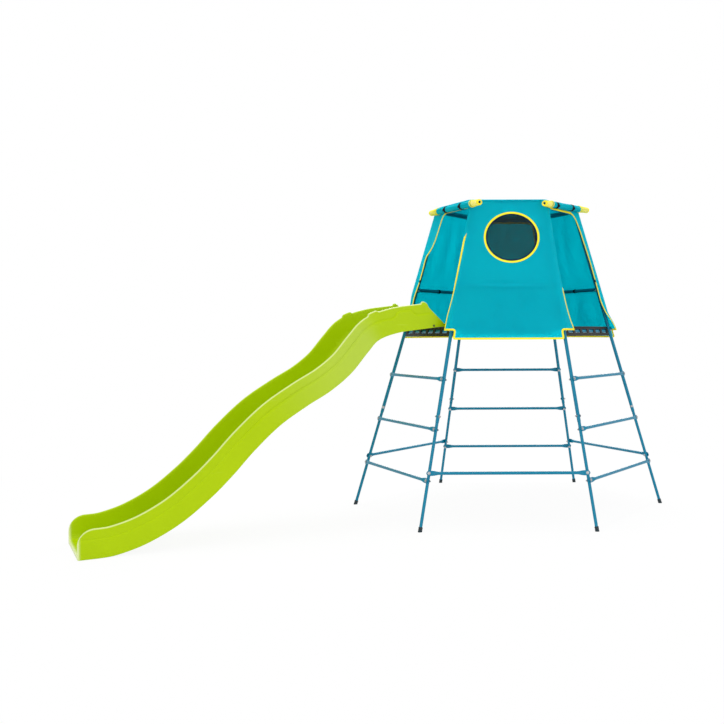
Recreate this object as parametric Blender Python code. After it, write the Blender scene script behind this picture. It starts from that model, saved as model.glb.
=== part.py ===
"""A climbing tower for the garden: six leaning legs, rungs, a deck, a fabric den on top and a wavy slide.

Metres, +Z up. The tower is a regular hexagon in plan. Its front face looks towards -Y, and the slide
leaves the face to the left of the front. Everything is modelled about the tower's own upright axis, with
the ground at height 0, and hangs from one empty, which stands the whole object on the origin.
"""
import math

import bpy
import bmesh
import numpy as np
from mathutils import Matrix, Vector

# Clearances
GAP = 0.0003
LEG_ROOM = 0.004

# The six legs
FOOT_CIRCLE_RADIUS = 1.036
LEG_LEAN = math.radians(16.46)
POLE_RADIUS = 0.011
POLE_WALL = 0.0012
LEG_WALL = 0.0012
LEG_JOINT_HEIGHT = 0.661
POLE_BELOW_JOINT = 0.035
LEG_ABOVE_JOINT = 0.075
TOP_BAR_HEIGHT = 1.974
POLE_OVER_TOP_BAR = 0.011
POLE_TOP = TOP_BAR_HEIGHT + POLE_OVER_TOP_BAR
FOOT_CAP_WALL = 0.0028
FOOT_CAP_SOLE = 0.009
FOOT_CAP_HEIGHT = 0.028

# The bars between the legs
RUNG_RADIUS = 0.0095
RAIL_RADIUS = 0.011
BAR_WALL = 0.0012
TAB_THICKNESS = 0.004
TAB_HALF_WIDTH = 0.0155
TAB_LENGTH = 0.034
TAB_TAPER = 0.045
TAB_OVERHANG = 0.016
TAB_SQUARENESS = 0.55
RUNG_HEIGHTS = (0.2905, 0.5865, 0.8835)
LOW_BAR_HEIGHT = 0.333
GUARD_RAIL_HEIGHT = 1.450
BOLT_STAGGER = 0.012

# The deck
DECK_TOP = 1.200
DECK_PLATE = 0.005
DECK_SKIRT = 0.060
DECK_SKIRT_WALL = 0.0045
DECK_SKIRT_SETBACK = 0.020
DECK_BACK_SKIRT_SETBACK = 0.060
DECK_OVER_RAIL = 0.0185
DECK_RIB = 0.005
DECK_RIB_DEPTH = 0.032
DECK_RIB_PITCH = 0.150
DECK_EDGE_ROOM = 0.045
DECK_WINDOWS = 6
DECK_WINDOW_HEIGHT = 0.026
DECK_WEB = 0.030

# The den's cover
CLOTH = 0.003
DEN_OVER_TOP_BAR = 0.026
DEN_TOP = TOP_BAR_HEIGHT + DEN_OVER_TOP_BAR
DEN_CORNER_RADIUS = 0.030
DEN_NOTCH_DROP = 0.023
DEN_NOTCH_HEIGHT = DECK_TOP - DEN_NOTCH_DROP
DEN_HEM_DROP = 0.078
DEN_HEM_HEIGHT = DECK_TOP - DEN_HEM_DROP
DEN_HEM_INSET = 0.018
CLOTH_SAG = 0.006
FOLD_DEPTH = 0.0035
WALL_FOLDS = 3
FRONT_STRIP_TOP = 0.008
FRONT_STRIP_BOTTOM = 0.046
STRIP_FLARE_HEIGHT = 1.50
SIDE_STRIP = 0.048
HEADER_DROP = 0.056
HEADER_ROOM = 0.004
ROOF_SAG = 0.018
WINDOW_BELOW_TOP = 0.243
WINDOW_HEIGHT = DEN_TOP - WINDOW_BELOW_TOP
WINDOW_RADIUS = 0.164
WINDOW_SHIFT = 0.024
WINDOW_LAP = 0.016
MESH_THICKNESS = 0.001
FLAP_LAP = 0.022
FLAP_HEM_DROP = 0.060
FLAP_HEM_HEIGHT = DECK_TOP - FLAP_HEM_DROP
FLAP_FOLDS = 4
FLAP_FOLD_DEPTH = 0.009

# The two door flaps that are rolled up
ROLL_RADIUS = 0.021
ROLL_TIP_RADIUS = 0.010
ROLL_BORE_RADIUS = 0.005
ROLL_BORE_DEPTH = 0.025
ROLL_LENGTH = 0.710
ROLL_BODY_LENGTH = 0.410
ROLL_TURNS = 4
ROLL_TREAD = (0.15, 0.95)
ROLL_WAIST = 0.0035
ROLL_STRAP_HALF_WIDTH = 0.012
ROLL_STRAP_SPACING = 0.150
LEFT_ROLL_SHIFT = 0.080
RIGHT_ROLL_SHIFT = 0.0
ROLL_BELOW_TOP = 0.028
ROLL_HEIGHT = DEN_TOP - ROLL_BELOW_TOP

# The slide
SLIDE_RUN = 2.100
SLIDE_WIDTH = 0.480
SLIDE_WALL_HEIGHT = 0.155
SLIDE_WALL_TOP = 0.022
SLIDE_WALL_BASE = 0.034
SLIDE_WALL_LEAN = 0.006
SLIDE_SIDE_STEP = 0.004
SLIDE_STEP_SHARES = (0.55, 0.60)
SLIDE_RIM_ROUND = 0.006
SLIDE_RIM_SHARE = 0.93
SLIDE_COVE = 0.020
SLIDE_COVE_REACH = 0.060
SLIDE_COVE_SHARES = (0.90, 0.22, 0.05)
SLIDE_SKIN = 0.005
SLIDE_BED_RISE = 0.020
SLIDE_LIP = 0.062
SLIDE_LIP_ROUND = 0.012
SLIDE_LIP_EDGE_SHARE = 0.55
SLIDE_ENTRY_SLANT = 0.105
SLIDE_END_ROUND = 0.085
SLIDE_LUG_HEIGHT = 0.012
SLIDE_LUG_LENGTH = 0.046
SLIDE_LUG_RAMP = 0.004
SLIDE_PLATE_STEP = 0.001
SLIDE_BOLT_RUN = 0.070
SLIDE_BOLT_RISE = 0.0112
SLIDE_BOLT_RADIUS = 0.003
SLIDE_BOLT_HEAD = 0.0065
SLIDE_BOLT_HEAD_HEIGHT = 0.004
SLIDE_BOLT_LENGTH = 0.045
SLIDE_BOLT_CHAMFER = 0.002
# Where the slide's wave goes: share of the run, and share of the deck's height
SLIDE_WAVE = (
    (0.0, 1.0), (0.012, 1.0), (0.075, 0.987), (0.145, 0.970), (0.205, 0.935), (0.240, 0.874),
    (0.290, 0.773), (0.350, 0.690), (0.420, 0.619), (0.495, 0.533), (0.565, 0.422), (0.620, 0.319),
    (0.680, 0.219), (0.755, 0.118), (0.835, 0.045), (0.905, 0.008), (0.950, 0.0), (1.0, 0.0),
)
SLIDE_LUGS = (0.051, 0.192)

# What repeats around the tower
TURN = math.radians(60)
LEG_NAMES = ("right", "back_right", "back_left", "left", "front_left", "front_right")
FACE_NAMES = ("back_right", "back", "back_left", "slide", "front", "entry")
LADDER_FACES = (1, 3, 5)
SINGLE_FACES = (0, 2, 4)
BACK_FACE, SLIDE_FACE, FRONT_FACE, ENTRY_FACE = 1, 3, 4, 5
TUBE_SIDES = 12
BAR_SIDES = 10
BOLT_SIDES = 10
WINDOW_SIDES = 40
FRONT_COLUMNS = 14
SIDE_COLUMNS = 8
WALL_ROWS = 11
ROOF_RINGS = (0.35, 0.7, 1.0)
CUT_REACH = 0.1

SLOPE = math.tan(LEG_LEAN)
FACE_LEAN_COS = math.cos(math.atan(SLOPE * math.cos(TURN / 2)))
LEG_RADIUS = POLE_RADIUS - POLE_WALL - GAP
RAIL_OFFSET = POLE_RADIUS + GAP + TAB_THICKNESS / 2
COVER_OFFSET = RAIL_OFFSET + RAIL_RADIUS + 4 * GAP
DECK_UNDERSIDE = DECK_TOP - DECK_PLATE
RAIL_HEIGHT_AT_DECK = DECK_UNDERSIDE - GAP - RAIL_RADIUS


def clear_scene():
    """Empties the file, whatever it starts with."""
    for thing in list(bpy.data.objects):
        bpy.data.objects.remove(thing, do_unlink=True)
    for mesh in list(bpy.data.meshes):
        bpy.data.meshes.remove(mesh)


def finish(name, colour, roughness, metallic=0.0):
    """A plain Principled material."""
    material = bpy.data.materials.new(name)
    material.use_nodes = True
    shader = material.node_tree.nodes["Principled BSDF"]
    shader.inputs["Base Color"].default_value = (*colour, 1.0)
    shader.inputs["Roughness"].default_value = roughness
    shader.inputs["Metallic"].default_value = metallic
    return material


def make_object(name, mesh, parent, smooth_angle=35):
    """Puts a mesh in the scene as a named sub-part, shaded smooth except at its sharp edges."""
    piece = bpy.data.objects.new(name, mesh)
    bpy.context.scene.collection.objects.link(piece)
    piece.parent = parent
    mesh.shade_smooth()
    mesh.set_sharp_from_angle(angle=math.radians(smooth_angle))
    return piece


def coloured(piece, material):
    """Gives a sub-part its material."""
    piece.data.materials.clear()
    piece.data.materials.append(material)
    return piece


def mesh_from(name, build):
    """A mesh made by one function that fills an empty bmesh."""
    work = bmesh.new()
    build(work)
    bmesh.ops.recalc_face_normals(work, faces=work.faces)
    mesh = bpy.data.meshes.new(name)
    work.to_mesh(mesh)
    work.free()
    return mesh


def joined_loops(work, first, second):
    """Faces all the way round between two rings of vertices."""
    for i in range(len(first)):
        j = (i + 1) % len(first)
        work.faces.new((first[i], first[j], second[j], second[i]))


def closed_loft(work, rings):
    """Joins rings of equal count into a solid and fills both ends."""
    loops = [[work.verts.new(point) for point in ring] for ring in rings]
    for first, second in zip(loops, loops[1:]):
        joined_loops(work, first, second)
    work.faces.new(loops[0])
    work.faces.new(loops[-1])


def hollow_loft(work, outer_rings, inner_rings):
    """Joins two sets of rings into a tube that is open at both ends."""
    outer = [[work.verts.new(point) for point in ring] for ring in outer_rings]
    inner = [[work.verts.new(point) for point in ring] for ring in inner_rings]
    round_trip = outer + inner[::-1]
    for first, second in zip(round_trip, round_trip[1:] + outer[:1]):
        joined_loops(work, first, second)


def turned(work, outline, sides):
    """Spins an outline of (height, radius) points about Z; a radius of 0 closes the shape at its axis."""
    spins = [2 * math.pi * i / sides for i in range(sides)]
    loops = []
    for height, radius in outline:
        if radius == 0:
            loops.append([work.verts.new((0, 0, height))])
        else:
            loops.append([work.verts.new((radius * math.cos(s), radius * math.sin(s), height))
                          for s in spins])
    pairs = list(zip(loops, loops[1:]))
    if len(loops[0]) > 1:
        pairs.append((loops[-1], loops[0]))
    for first, second in pairs:
        for i in range(sides):
            j = (i + 1) % sides
            if len(first) == 1:
                work.faces.new((first[0], second[i], second[j]))
            elif len(second) == 1:
                work.faces.new((first[i], first[j], second[0]))
            else:
                work.faces.new((first[i], first[j], second[j], second[i]))


def combined(piece, tools, operation):
    """Applies a Boolean with each tool in turn, and removes the tools."""
    for tool in tools:
        step = piece.modifiers.new(tool.name, "BOOLEAN")
        step.operation = operation
        step.solver = "EXACT"
        step.object = tool
    bpy.context.view_layer.update()
    graph = bpy.context.evaluated_depsgraph_get()
    mesh = bpy.data.meshes.new_from_object(piece.evaluated_get(graph))
    piece.modifiers.clear()
    piece.data = mesh
    for tool in tools:
        bpy.data.objects.remove(tool, do_unlink=True)
    return piece


def leg_radius_at(height):
    """How far a leg's axis is from the tower's at this height."""
    return FOOT_CIRCLE_RADIUS - SLOPE * height


def face_distance(height):
    """How far the plane through two neighbouring legs is from the tower's axis at this height."""
    return leg_radius_at(height) * math.cos(TURN / 2)


def face_frame(face):
    """A face's direction outwards in plan, its direction along, and its true normal."""
    angle = TURN / 2 + face * TURN
    out = Vector((math.cos(angle), math.sin(angle), 0))
    along = Vector((-math.sin(angle), math.cos(angle), 0))
    normal = (out + Vector((0, 0, SLOPE * math.cos(TURN / 2)))).normalized()
    return out, along, normal


def face_point(face, x, height, lift=0.0):
    """A point x along a face from its middle, lifted off it along its normal."""
    out, along, normal = face_frame(face)
    return out * face_distance(height) + along * x + Vector((0, 0, height)) + normal * lift


def level_point(face, x, height, lift):
    """A point at this very height, lifted off a face by this much measured square to the face."""
    out, along, _ = face_frame(face)
    return out * (face_distance(height) + lift / FACE_LEAN_COS) + along * x + Vector((0, 0, height))


def leg_transform(leg):
    """Stands a shape modelled up the Z axis along a leg, with its origin where the leg meets the ground."""
    spin = Matrix.Rotation(leg * TURN, 4, "Z")
    move = Matrix.Translation((FOOT_CIRCLE_RADIUS, 0, 0))
    return spin @ move @ Matrix.Rotation(-LEG_LEAN, 4, "Y")


def up_leg(height):
    """The distance along a leg at which it reaches this height."""
    return height / math.cos(LEG_LEAN)


def add_legs(tower, steel, rubber):
    """Six legs, each a lower tube sleeved into an upper pole, with a cap on its foot."""
    pole_start = up_leg(LEG_JOINT_HEIGHT) - POLE_BELOW_JOINT
    pole_end = up_leg(POLE_TOP)
    leg_start = FOOT_CAP_SOLE + GAP
    leg_end = up_leg(LEG_JOINT_HEIGHT) + LEG_ABOVE_JOINT
    bore = POLE_RADIUS - POLE_WALL
    pole = mesh_from("upper_pole", lambda work: turned(
        work, [(pole_start, POLE_RADIUS), (pole_end, POLE_RADIUS), (pole_end, bore), (pole_start, bore)],
        TUBE_SIDES))
    inside = LEG_RADIUS - LEG_WALL
    lower = mesh_from("lower_leg", lambda work: turned(
        work, [(leg_start, LEG_RADIUS), (leg_end, LEG_RADIUS), (leg_end, inside), (leg_start, inside)],
        TUBE_SIDES))

    def build_cap(work):
        cup = LEG_RADIUS + GAP
        outer = cup + FOOT_CAP_WALL
        below = -2 * outer * SLOPE
        turned(work, [(below, 0), (below, outer), (FOOT_CAP_HEIGHT, outer), (FOOT_CAP_HEIGHT, cup),
                      (FOOT_CAP_SOLE, cup), (FOOT_CAP_SOLE, 0)], TUBE_SIDES)
        work.transform(Matrix.Rotation(-LEG_LEAN, 4, "Y"))
        everything = work.verts[:] + work.edges[:] + work.faces[:]
        cut = bmesh.ops.bisect_plane(work, geom=everything, plane_co=(0, 0, 0), plane_no=(0, 0, -1),
                                     clear_outer=True)
        rim = [edge for edge in cut["geom_cut"] if isinstance(edge, bmesh.types.BMEdge)]
        bmesh.ops.contextual_create(work, geom=rim)

    cap = mesh_from("foot_cap", build_cap)
    for leg, side in enumerate(LEG_NAMES):
        for kind, mesh in (("upper_pole", pole), ("lower_leg", lower)):
            piece = coloured(make_object(f"{kind}_{side}", mesh, tower), steel)
            piece.matrix_local = leg_transform(leg)
        piece = coloured(make_object(f"foot_cap_{side}", cap, tower), rubber)
        spin = Matrix.Rotation(leg * TURN, 4, "Z")
        piece.matrix_local = spin @ Matrix.Translation((FOOT_CIRCLE_RADIUS, 0, 0))


def bar_mesh(name, half_length, radius):
    """A tube lying along X whose two ends are pressed flat, square to Y, down to a narrow slot."""
    end = half_length + TAB_OVERHANG
    stations = [
        (-end, TAB_HALF_WIDTH, TAB_THICKNESS / 2, TAB_SQUARENESS),
        (-end + TAB_LENGTH, TAB_HALF_WIDTH, TAB_THICKNESS / 2, TAB_SQUARENESS),
        (-end + TAB_LENGTH + TAB_TAPER, radius, radius, 1.0),
    ]
    stations += [(-x, width, depth, power) for x, width, depth, power in reversed(stations)]

    def rings(wall):
        skins = []
        for x, width, depth, power in stations:
            ring = []
            for i in range(BAR_SIDES):
                spin = 2 * math.pi * (i + 0.5) / BAR_SIDES
                across, deep = math.cos(spin), math.sin(spin)
                ring.append(Vector((x, (depth - wall) * math.copysign(abs(deep) ** power, deep),
                                    (width - wall) * math.copysign(abs(across) ** power, across))))
            skins.append(ring)
        return skins

    return mesh_from(name, lambda work: hollow_loft(work, rings(0.0), rings(BAR_WALL)))


def bar_transform(face, height, lift):
    """Places a bar across a face: its X along the face, its Y along the face's normal."""
    _, along, normal = face_frame(face)
    upwards = along.cross(normal)
    spot = level_point(face, 0, height, lift)
    return Matrix.Translation(spot) @ Matrix((along, normal, upwards)).transposed().to_4x4()


def add_bars(tower, name, faces, height, lift, radius, steel):
    """The same bar on several faces, each bolted to two legs through its flattened ends."""
    mesh = bar_mesh(name, leg_radius_at(height) / 2, radius)
    for face in faces:
        piece = coloured(make_object(name.format(FACE_NAMES[face]), mesh, tower), steel)
        piece.matrix_local = bar_transform(face, height, lift)


def add_all_bars(tower, steel):
    """Rungs, low bars, guard rails, and the rings of bars at the deck and at the top."""
    low_offset = LEG_RADIUS + GAP + TAB_THICKNESS / 2
    for step, height in enumerate(RUNG_HEIGHTS, start=1):
        offset = low_offset if height < LEG_JOINT_HEIGHT - POLE_BELOW_JOINT else RAIL_OFFSET
        add_bars(tower, f"rung_{step}_" + "{}", LADDER_FACES, height, offset, RUNG_RADIUS, steel)
    add_bars(tower, "low_bar_{}", SINGLE_FACES, LOW_BAR_HEIGHT, low_offset, RUNG_RADIUS, steel)
    add_bars(tower, "guard_rail_{}", SINGLE_FACES, GUARD_RAIL_HEIGHT, RAIL_OFFSET, RAIL_RADIUS, steel)
    for kind, height in (("deck_bar_{}", RAIL_HEIGHT_AT_DECK), ("top_bar_{}", TOP_BAR_HEIGHT)):
        add_bars(tower, kind, SINGLE_FACES, height, RAIL_OFFSET, RAIL_RADIUS, steel)
        add_bars(tower, kind, LADDER_FACES, height - BOLT_STAGGER, -RAIL_OFFSET, RAIL_RADIUS, steel)


def face_block(name, face, x_range, z_range, lift_range):
    """A block against a face that leans with it."""
    def build(work):
        rings = []
        for height in z_range:
            rings.append([level_point(face, x, height, lift) for x, lift in (
                (x_range[0], lift_range[0]), (x_range[1], lift_range[0]),
                (x_range[1], lift_range[1]), (x_range[0], lift_range[1]))])
        closed_loft(work, rings)

    return make_object(name, mesh_from(name, build), None)


def block(name, low, high):
    """An upright box between two corners."""
    def build(work):
        rings = []
        for z in (low[2], high[2]):
            rings.append([Vector((x, y, z)) for x, y in (
                (low[0], low[1]), (high[0], low[1]), (high[0], high[1]), (low[0], high[1]))])
        closed_loft(work, rings)

    return make_object(name, mesh_from(name, build), None)


def deck_outline():
    """The deck's twelve corners in plan: its six sides, with each corner cut back round its leg."""
    leg_reach = POLE_RADIUS / math.cos(LEG_LEAN) + LEG_ROOM
    lines = []
    for face in range(6):
        lines.append((face * TURN, leg_radius_at(DECK_TOP) - leg_reach))
        lift = DECK_OVER_RAIL if face in SINGLE_FACES else DECK_SKIRT_WALL
        lines.append((TURN / 2 + face * TURN, face_distance(DECK_TOP) + lift))
    corners = []
    for i, (angle, distance) in enumerate(lines):
        next_angle, next_distance = lines[(i + 1) % len(lines)]
        sides = np.array([[math.cos(angle), math.sin(angle)], [math.cos(next_angle), math.sin(next_angle)]])
        corners.append(np.linalg.solve(sides, [distance, next_distance]))
    return corners


def deck_parts():
    """The deck as one plate with skirts, bearers and ribs, before it is parted in two."""
    outline = deck_outline()
    plate = make_object("deck_plate", mesh_from("deck_plate", lambda work: closed_loft(work, [
        [Vector((x, y, z)) for x, y in outline] for z in (DECK_UNDERSIDE, DECK_TOP)])), None)
    inside_plate = DECK_UNDERSIDE + DECK_PLATE / 2
    skirt_foot = DECK_TOP - DECK_SKIRT
    half_side = leg_radius_at(DECK_TOP) / 2
    joined = []
    for face in LADDER_FACES:
        skirt = (-RAIL_OFFSET + RAIL_RADIUS + GAP, -RAIL_OFFSET + RAIL_RADIUS + GAP + DECK_SKIRT_WALL)
        reach = half_side - DECK_SKIRT_SETBACK
        joined.append(face_block("skirt", face, (-reach, reach), (skirt_foot, inside_plate), skirt))
        bearer = (-RAIL_OFFSET - DECK_RIB / 2, -RAIL_OFFSET + DECK_RIB / 2)
        bar_top = RAIL_HEIGHT_AT_DECK - BOLT_STAGGER + RAIL_RADIUS / math.cos(LEG_LEAN) + GAP
        reach = half_side - TAB_LENGTH - TAB_TAPER
        joined.append(face_block("bearer", face, (-reach, reach), (bar_top, inside_plate), bearer))
    for face in SINGLE_FACES:
        behind = RAIL_OFFSET - RAIL_RADIUS - GAP
        reach = half_side - DECK_BACK_SKIRT_SETBACK
        joined.append(face_block("skirt", face, (-reach, reach), (skirt_foot, inside_plate),
                                 (behind - DECK_SKIRT_WALL, behind)))
    inner = face_distance(DECK_TOP) - DECK_EDGE_ROOM
    rib_foot = DECK_UNDERSIDE - DECK_RIB_DEPTH
    rows = int(inner / DECK_RIB_PITCH)
    for row in range(-rows, rows + 1):
        spots = (-DECK_RIB, DECK_RIB) if row == 0 else (row * DECK_RIB_PITCH,)
        for y in spots:
            reach = (inner - abs(y) / 2) / math.cos(TURN / 2)
            joined.append(block("rib", (-reach, y - DECK_RIB / 2, rib_foot),
                                (reach, y + DECK_RIB / 2, inside_plate)))
        x = row * DECK_RIB_PITCH
        reach = min(inner, 2 * (inner - abs(x) * math.cos(TURN / 2)))
        joined.append(block("rib", (x - DECK_RIB / 2, -reach, rib_foot),
                            (x + DECK_RIB / 2, reach, inside_plate)))
    combined(plate, joined, "UNION")
    windows = []
    for face in LADDER_FACES:
        width = 2 * (half_side - DECK_SKIRT_SETBACK)
        opening = (width - DECK_WEB * (DECK_WINDOWS + 1)) / DECK_WINDOWS
        low = skirt_foot + (DECK_SKIRT - DECK_WINDOW_HEIGHT) / 2
        for i in range(DECK_WINDOWS):
            start = -width / 2 + DECK_WEB + i * (opening + DECK_WEB)
            windows.append(face_block("window", face, (start, start + opening),
                                      (low, low + DECK_WINDOW_HEIGHT),
                                      (-RAIL_OFFSET + RAIL_RADIUS, 2 * DECK_SKIRT_WALL)))
    return combined(plate, windows, "DIFFERENCE")


def add_deck(tower, plastic):
    """Two ribbed halves that meet along the line between the left and the right leg."""
    whole = deck_parts()
    reach = FOOT_CIRCLE_RADIUS
    for name, side in (("deck_front", -1), ("deck_back", 1)):
        half = make_object(name, whole.data.copy(), tower)
        edge = side * GAP
        low = (-reach, min(edge, side * reach), 0)
        high = (reach, max(edge, side * reach), 2 * DECK_TOP)
        combined(half, [block("keep", low, high)], "INTERSECT")
        coloured(half, plastic)
    bpy.data.objects.remove(whole, do_unlink=True)


def cover_point(face, column, height, lift):
    """A point of the den's cover, which wraps the hexagon with a rounded corner between its faces.

    column is ("face", share of the flat width), ("turn", share of the corner, side) or
    ("strip", distance past the corner, side); side is 1 towards +along and -1 towards -along."""
    angle = TURN / 2 + face * TURN
    distance = face_distance(height) + (COVER_OFFSET + lift) / FACE_LEAN_COS
    radius = DEN_CORNER_RADIUS + lift
    flat = distance * math.tan(TURN / 2) - radius * math.tan(TURN / 2)
    if column[0] == "face":
        out, along = distance, column[1] * flat
    else:
        side = column[2]
        turn = TURN * (column[1] if column[0] == "turn" else 1.0)
        out = distance - radius * (1 - math.cos(turn))
        along = flat + radius * math.sin(turn)
        if column[0] == "strip":
            out -= column[1] * math.sin(TURN)
            along += column[1] * math.cos(TURN)
        along *= side
    return Vector((out * math.cos(angle) - along * math.sin(angle),
                   out * math.sin(angle) + along * math.cos(angle), height))


def sheet_mesh(name, outer, inner, kept):
    """A closed sheet between two grids of points, made only where kept(row, column) is true."""
    rows, columns = len(outer), len(outer[0])

    def build(work):
        used = set()
        cells = [(r, c) for r in range(rows - 1) for c in range(columns - 1) if kept(r, c)]
        for r, c in cells:
            used.update(((r, c), (r + 1, c), (r, c + 1), (r + 1, c + 1)))
        front = {spot: work.verts.new(outer[spot[0]][spot[1]]) for spot in sorted(used)}
        rear = {spot: work.verts.new(inner[spot[0]][spot[1]]) for spot in sorted(used)}
        edges = {}
        for r, c in cells:
            loop = [(r, c), (r, c + 1), (r + 1, c + 1), (r + 1, c)]
            for half in (loop[:3], [loop[2], loop[3], loop[0]]):
                work.faces.new([front[spot] for spot in half])
                work.faces.new([rear[spot] for spot in reversed(half)])
            for a, b in zip(loop, loop[1:] + loop[:1]):
                edges[(a, b)] = (b, a) not in edges
                if not edges[(a, b)]:
                    edges[(b, a)] = False
        for (a, b), lone in edges.items():
            if lone:
                work.faces.new([front[b], front[a], rear[a], rear[b]])

    return mesh_from(name, build)


def cloth_swing(height, share):
    """How far the taut cloth leaves its plane: drawn in between its rails, with soft upright folds."""
    if height > GUARD_RAIL_HEIGHT:
        span = (height - GUARD_RAIL_HEIGHT) / (DEN_TOP - GUARD_RAIL_HEIGHT)
    else:
        span = (GUARD_RAIL_HEIGHT - height) / (GUARD_RAIL_HEIGHT - DEN_NOTCH_HEIGHT)
    drawn = math.sin(math.pi * min(span, 1.0)) ** 2
    middle = 1 - share * share
    folds = math.cos(WALL_FOLDS * math.pi * share) * FOLD_DEPTH * middle * drawn
    return -CLOTH_SAG * middle * drawn + folds


def wall_panel(name, face, strips, columns, heights):
    """One cloth wall of the den: its face, both turned corners and the strips past them."""
    low_side, high_side = strips

    def spots(height):
        row = [("strip", low_side(height) * share, -1) for share in (1.0, 0.5)]
        row += [("turn", share, -1) for share in (1.0, 0.5)]
        row += [("face", -1 + 2 * i / columns) for i in range(columns + 1)]
        row += [("turn", share, 1) for share in (0.5, 1.0)]
        row += [("strip", high_side(height) * share, 1) for share in (0.5, 1.0)]
        return row

    grids = []
    for lift in (CLOTH, 0.0):
        grid = []
        for height in heights:
            line = []
            for spot in spots(height):
                swing = cloth_swing(height, spot[1]) if spot[0] == "face" else 0.0
                line.append(cover_point(face, spot, height, lift + swing))
            grid.append(line)
        grids.append(grid)
    inset = DEN_HEM_INSET / (leg_radius_at(DEN_HEM_HEIGHT) / 2)
    first = next(i for i, spot in enumerate(spots(DEN_TOP)) if spot[0] == "face")
    last = first + columns

    def kept(row, column):
        if heights[row + 1] > DEN_NOTCH_HEIGHT + GAP:
            return True
        return first <= column < last and abs(-1 + 2 * (column - first + 0.5) / columns) < 1 - inset

    return sheet_mesh(name, grids[0], grids[1], kept)


def front_strip(height):
    """The front wall's strip on the doorways, which flares out towards the deck."""
    share = max(0.0, (STRIP_FLARE_HEIGHT - height) / (STRIP_FLARE_HEIGHT - DEN_NOTCH_HEIGHT))
    return FRONT_STRIP_TOP + (FRONT_STRIP_BOTTOM - FRONT_STRIP_TOP) * math.sin(share * math.pi / 2)


def side_strip(height):
    """The side walls' strip on the doorways, of one width."""
    return SIDE_STRIP


def wall_heights():
    """Rows of the cloth walls: the hem, the notch, and even steps up to the roof."""
    top = DEN_TOP - CLOTH - GAP
    rows = [DEN_HEM_HEIGHT, (DEN_HEM_HEIGHT + DEN_NOTCH_HEIGHT) / 2]
    return rows + [DEN_NOTCH_HEIGHT + (top - DEN_NOTCH_HEIGHT) * i / WALL_ROWS
                   for i in range(WALL_ROWS + 1)]


def window_cutter(name, radius):
    """A cylinder through the middle of the front wall, square to it."""
    def build(work):
        turned(work, [(-CUT_REACH, 0), (-CUT_REACH, radius), (CUT_REACH, radius), (CUT_REACH, 0)],
               WINDOW_SIDES)

    piece = make_object(name, mesh_from(name, build), None)
    normal = face_frame(FRONT_FACE)[2]
    spot = face_point(FRONT_FACE, WINDOW_SHIFT, WINDOW_HEIGHT, COVER_OFFSET)
    piece.matrix_world = Matrix.Translation(spot) @ normal.to_track_quat("Z", "Y").to_matrix().to_4x4()
    return piece


def add_walls(tower, cloth, net):
    """The three cloth walls, and the net behind the round window in the front one."""
    front = wall_panel("den_front", FRONT_FACE, (front_strip, front_strip), FRONT_COLUMNS,
                       wall_heights())
    piece = make_object("den_front", front, tower)
    combined(piece, [window_cutter("window_cut", WINDOW_RADIUS)], "DIFFERENCE")
    coloured(piece, cloth)
    for name, face in (("den_left", 2), ("den_right", 0)):
        mesh = wall_panel(name, face, (side_strip, side_strip), SIDE_COLUMNS, wall_heights())
        coloured(make_object(name, mesh, tower), cloth)
    columns = [("face", -1 + 2 * i / FRONT_COLUMNS) for i in range(1, FRONT_COLUMNS)]
    reach = WINDOW_RADIUS + 2 * WINDOW_LAP
    rows = [height for height in wall_heights()
            if abs(height - WINDOW_HEIGHT) < reach + (DEN_TOP - DEN_NOTCH_HEIGHT) / WALL_ROWS]
    grids = []
    for lift in (-GAP, -GAP - MESH_THICKNESS):
        grids.append([[cover_point(FRONT_FACE, spot, height, lift + cloth_swing(height, spot[1]))
                       for spot in columns] for height in rows])
    mesh = sheet_mesh("den_window_net", grids[0], grids[1], lambda row, column: True)
    piece = make_object("den_window_net", mesh, tower)
    combined(piece, [window_cutter("net_cut", WINDOW_RADIUS + WINDOW_LAP)], "INTERSECT")
    coloured(piece, net)


def rounded_hexagon(distance, radius, z):
    """A level hexagon with rounded corners, three points to a corner."""
    corners = []
    for corner in range(6):
        angle = corner * TURN
        reach = (distance - radius) / math.cos(TURN / 2)
        for swing in (-TURN / 2, 0, TURN / 2):
            corners.append(Vector((reach * math.cos(angle) + radius * math.cos(angle + swing),
                                   reach * math.sin(angle) + radius * math.sin(angle + swing), z)))
    return corners


def add_roof(tower, cloth):
    """The den's roof, drawn down a little in the middle, with a header over each doorway."""
    distance = face_distance(DEN_TOP) + (COVER_OFFSET + CLOTH) / FACE_LEAN_COS

    def build(work):
        rings = []
        both = [(share, 0.0) for share in ROOF_RINGS] + [(share, CLOTH) for share in reversed(ROOF_RINGS)]
        for share, below in both:
            z = DEN_TOP - ROOF_SAG * (1 - share ** 2) - below
            rings.append(rounded_hexagon(distance * share, DEN_CORNER_RADIUS * share, z))
        closed_loft(work, rings)

    piece = make_object("den_roof", mesh_from("den_roof", build), tower)
    headers = []
    for face in LADDER_FACES:
        def header(work, face=face):
            rings = []
            for height in (DEN_TOP - HEADER_DROP, DEN_TOP - CLOTH / 2):
                flat = (face_distance(height) + COVER_OFFSET) * math.tan(TURN / 2)
                turn = DEN_CORNER_RADIUS * math.tan(TURN / 2)
                widths = []
                for side in (-1, 1):
                    neighbour = (face + side) % 6
                    strip = FRONT_STRIP_TOP if neighbour == FRONT_FACE else SIDE_STRIP
                    widths.append(side * (flat - turn - strip - HEADER_ROOM))
                rings.append([level_point(face, x, height, COVER_OFFSET + lift) for x, lift in (
                    (widths[0], 0), (widths[1], 0), (widths[1], CLOTH), (widths[0], CLOTH))])
            closed_loft(work, rings)

        headers.append(make_object("header", mesh_from("header", header), None))
    combined(piece, headers, "UNION")
    coloured(piece, cloth)


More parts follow.
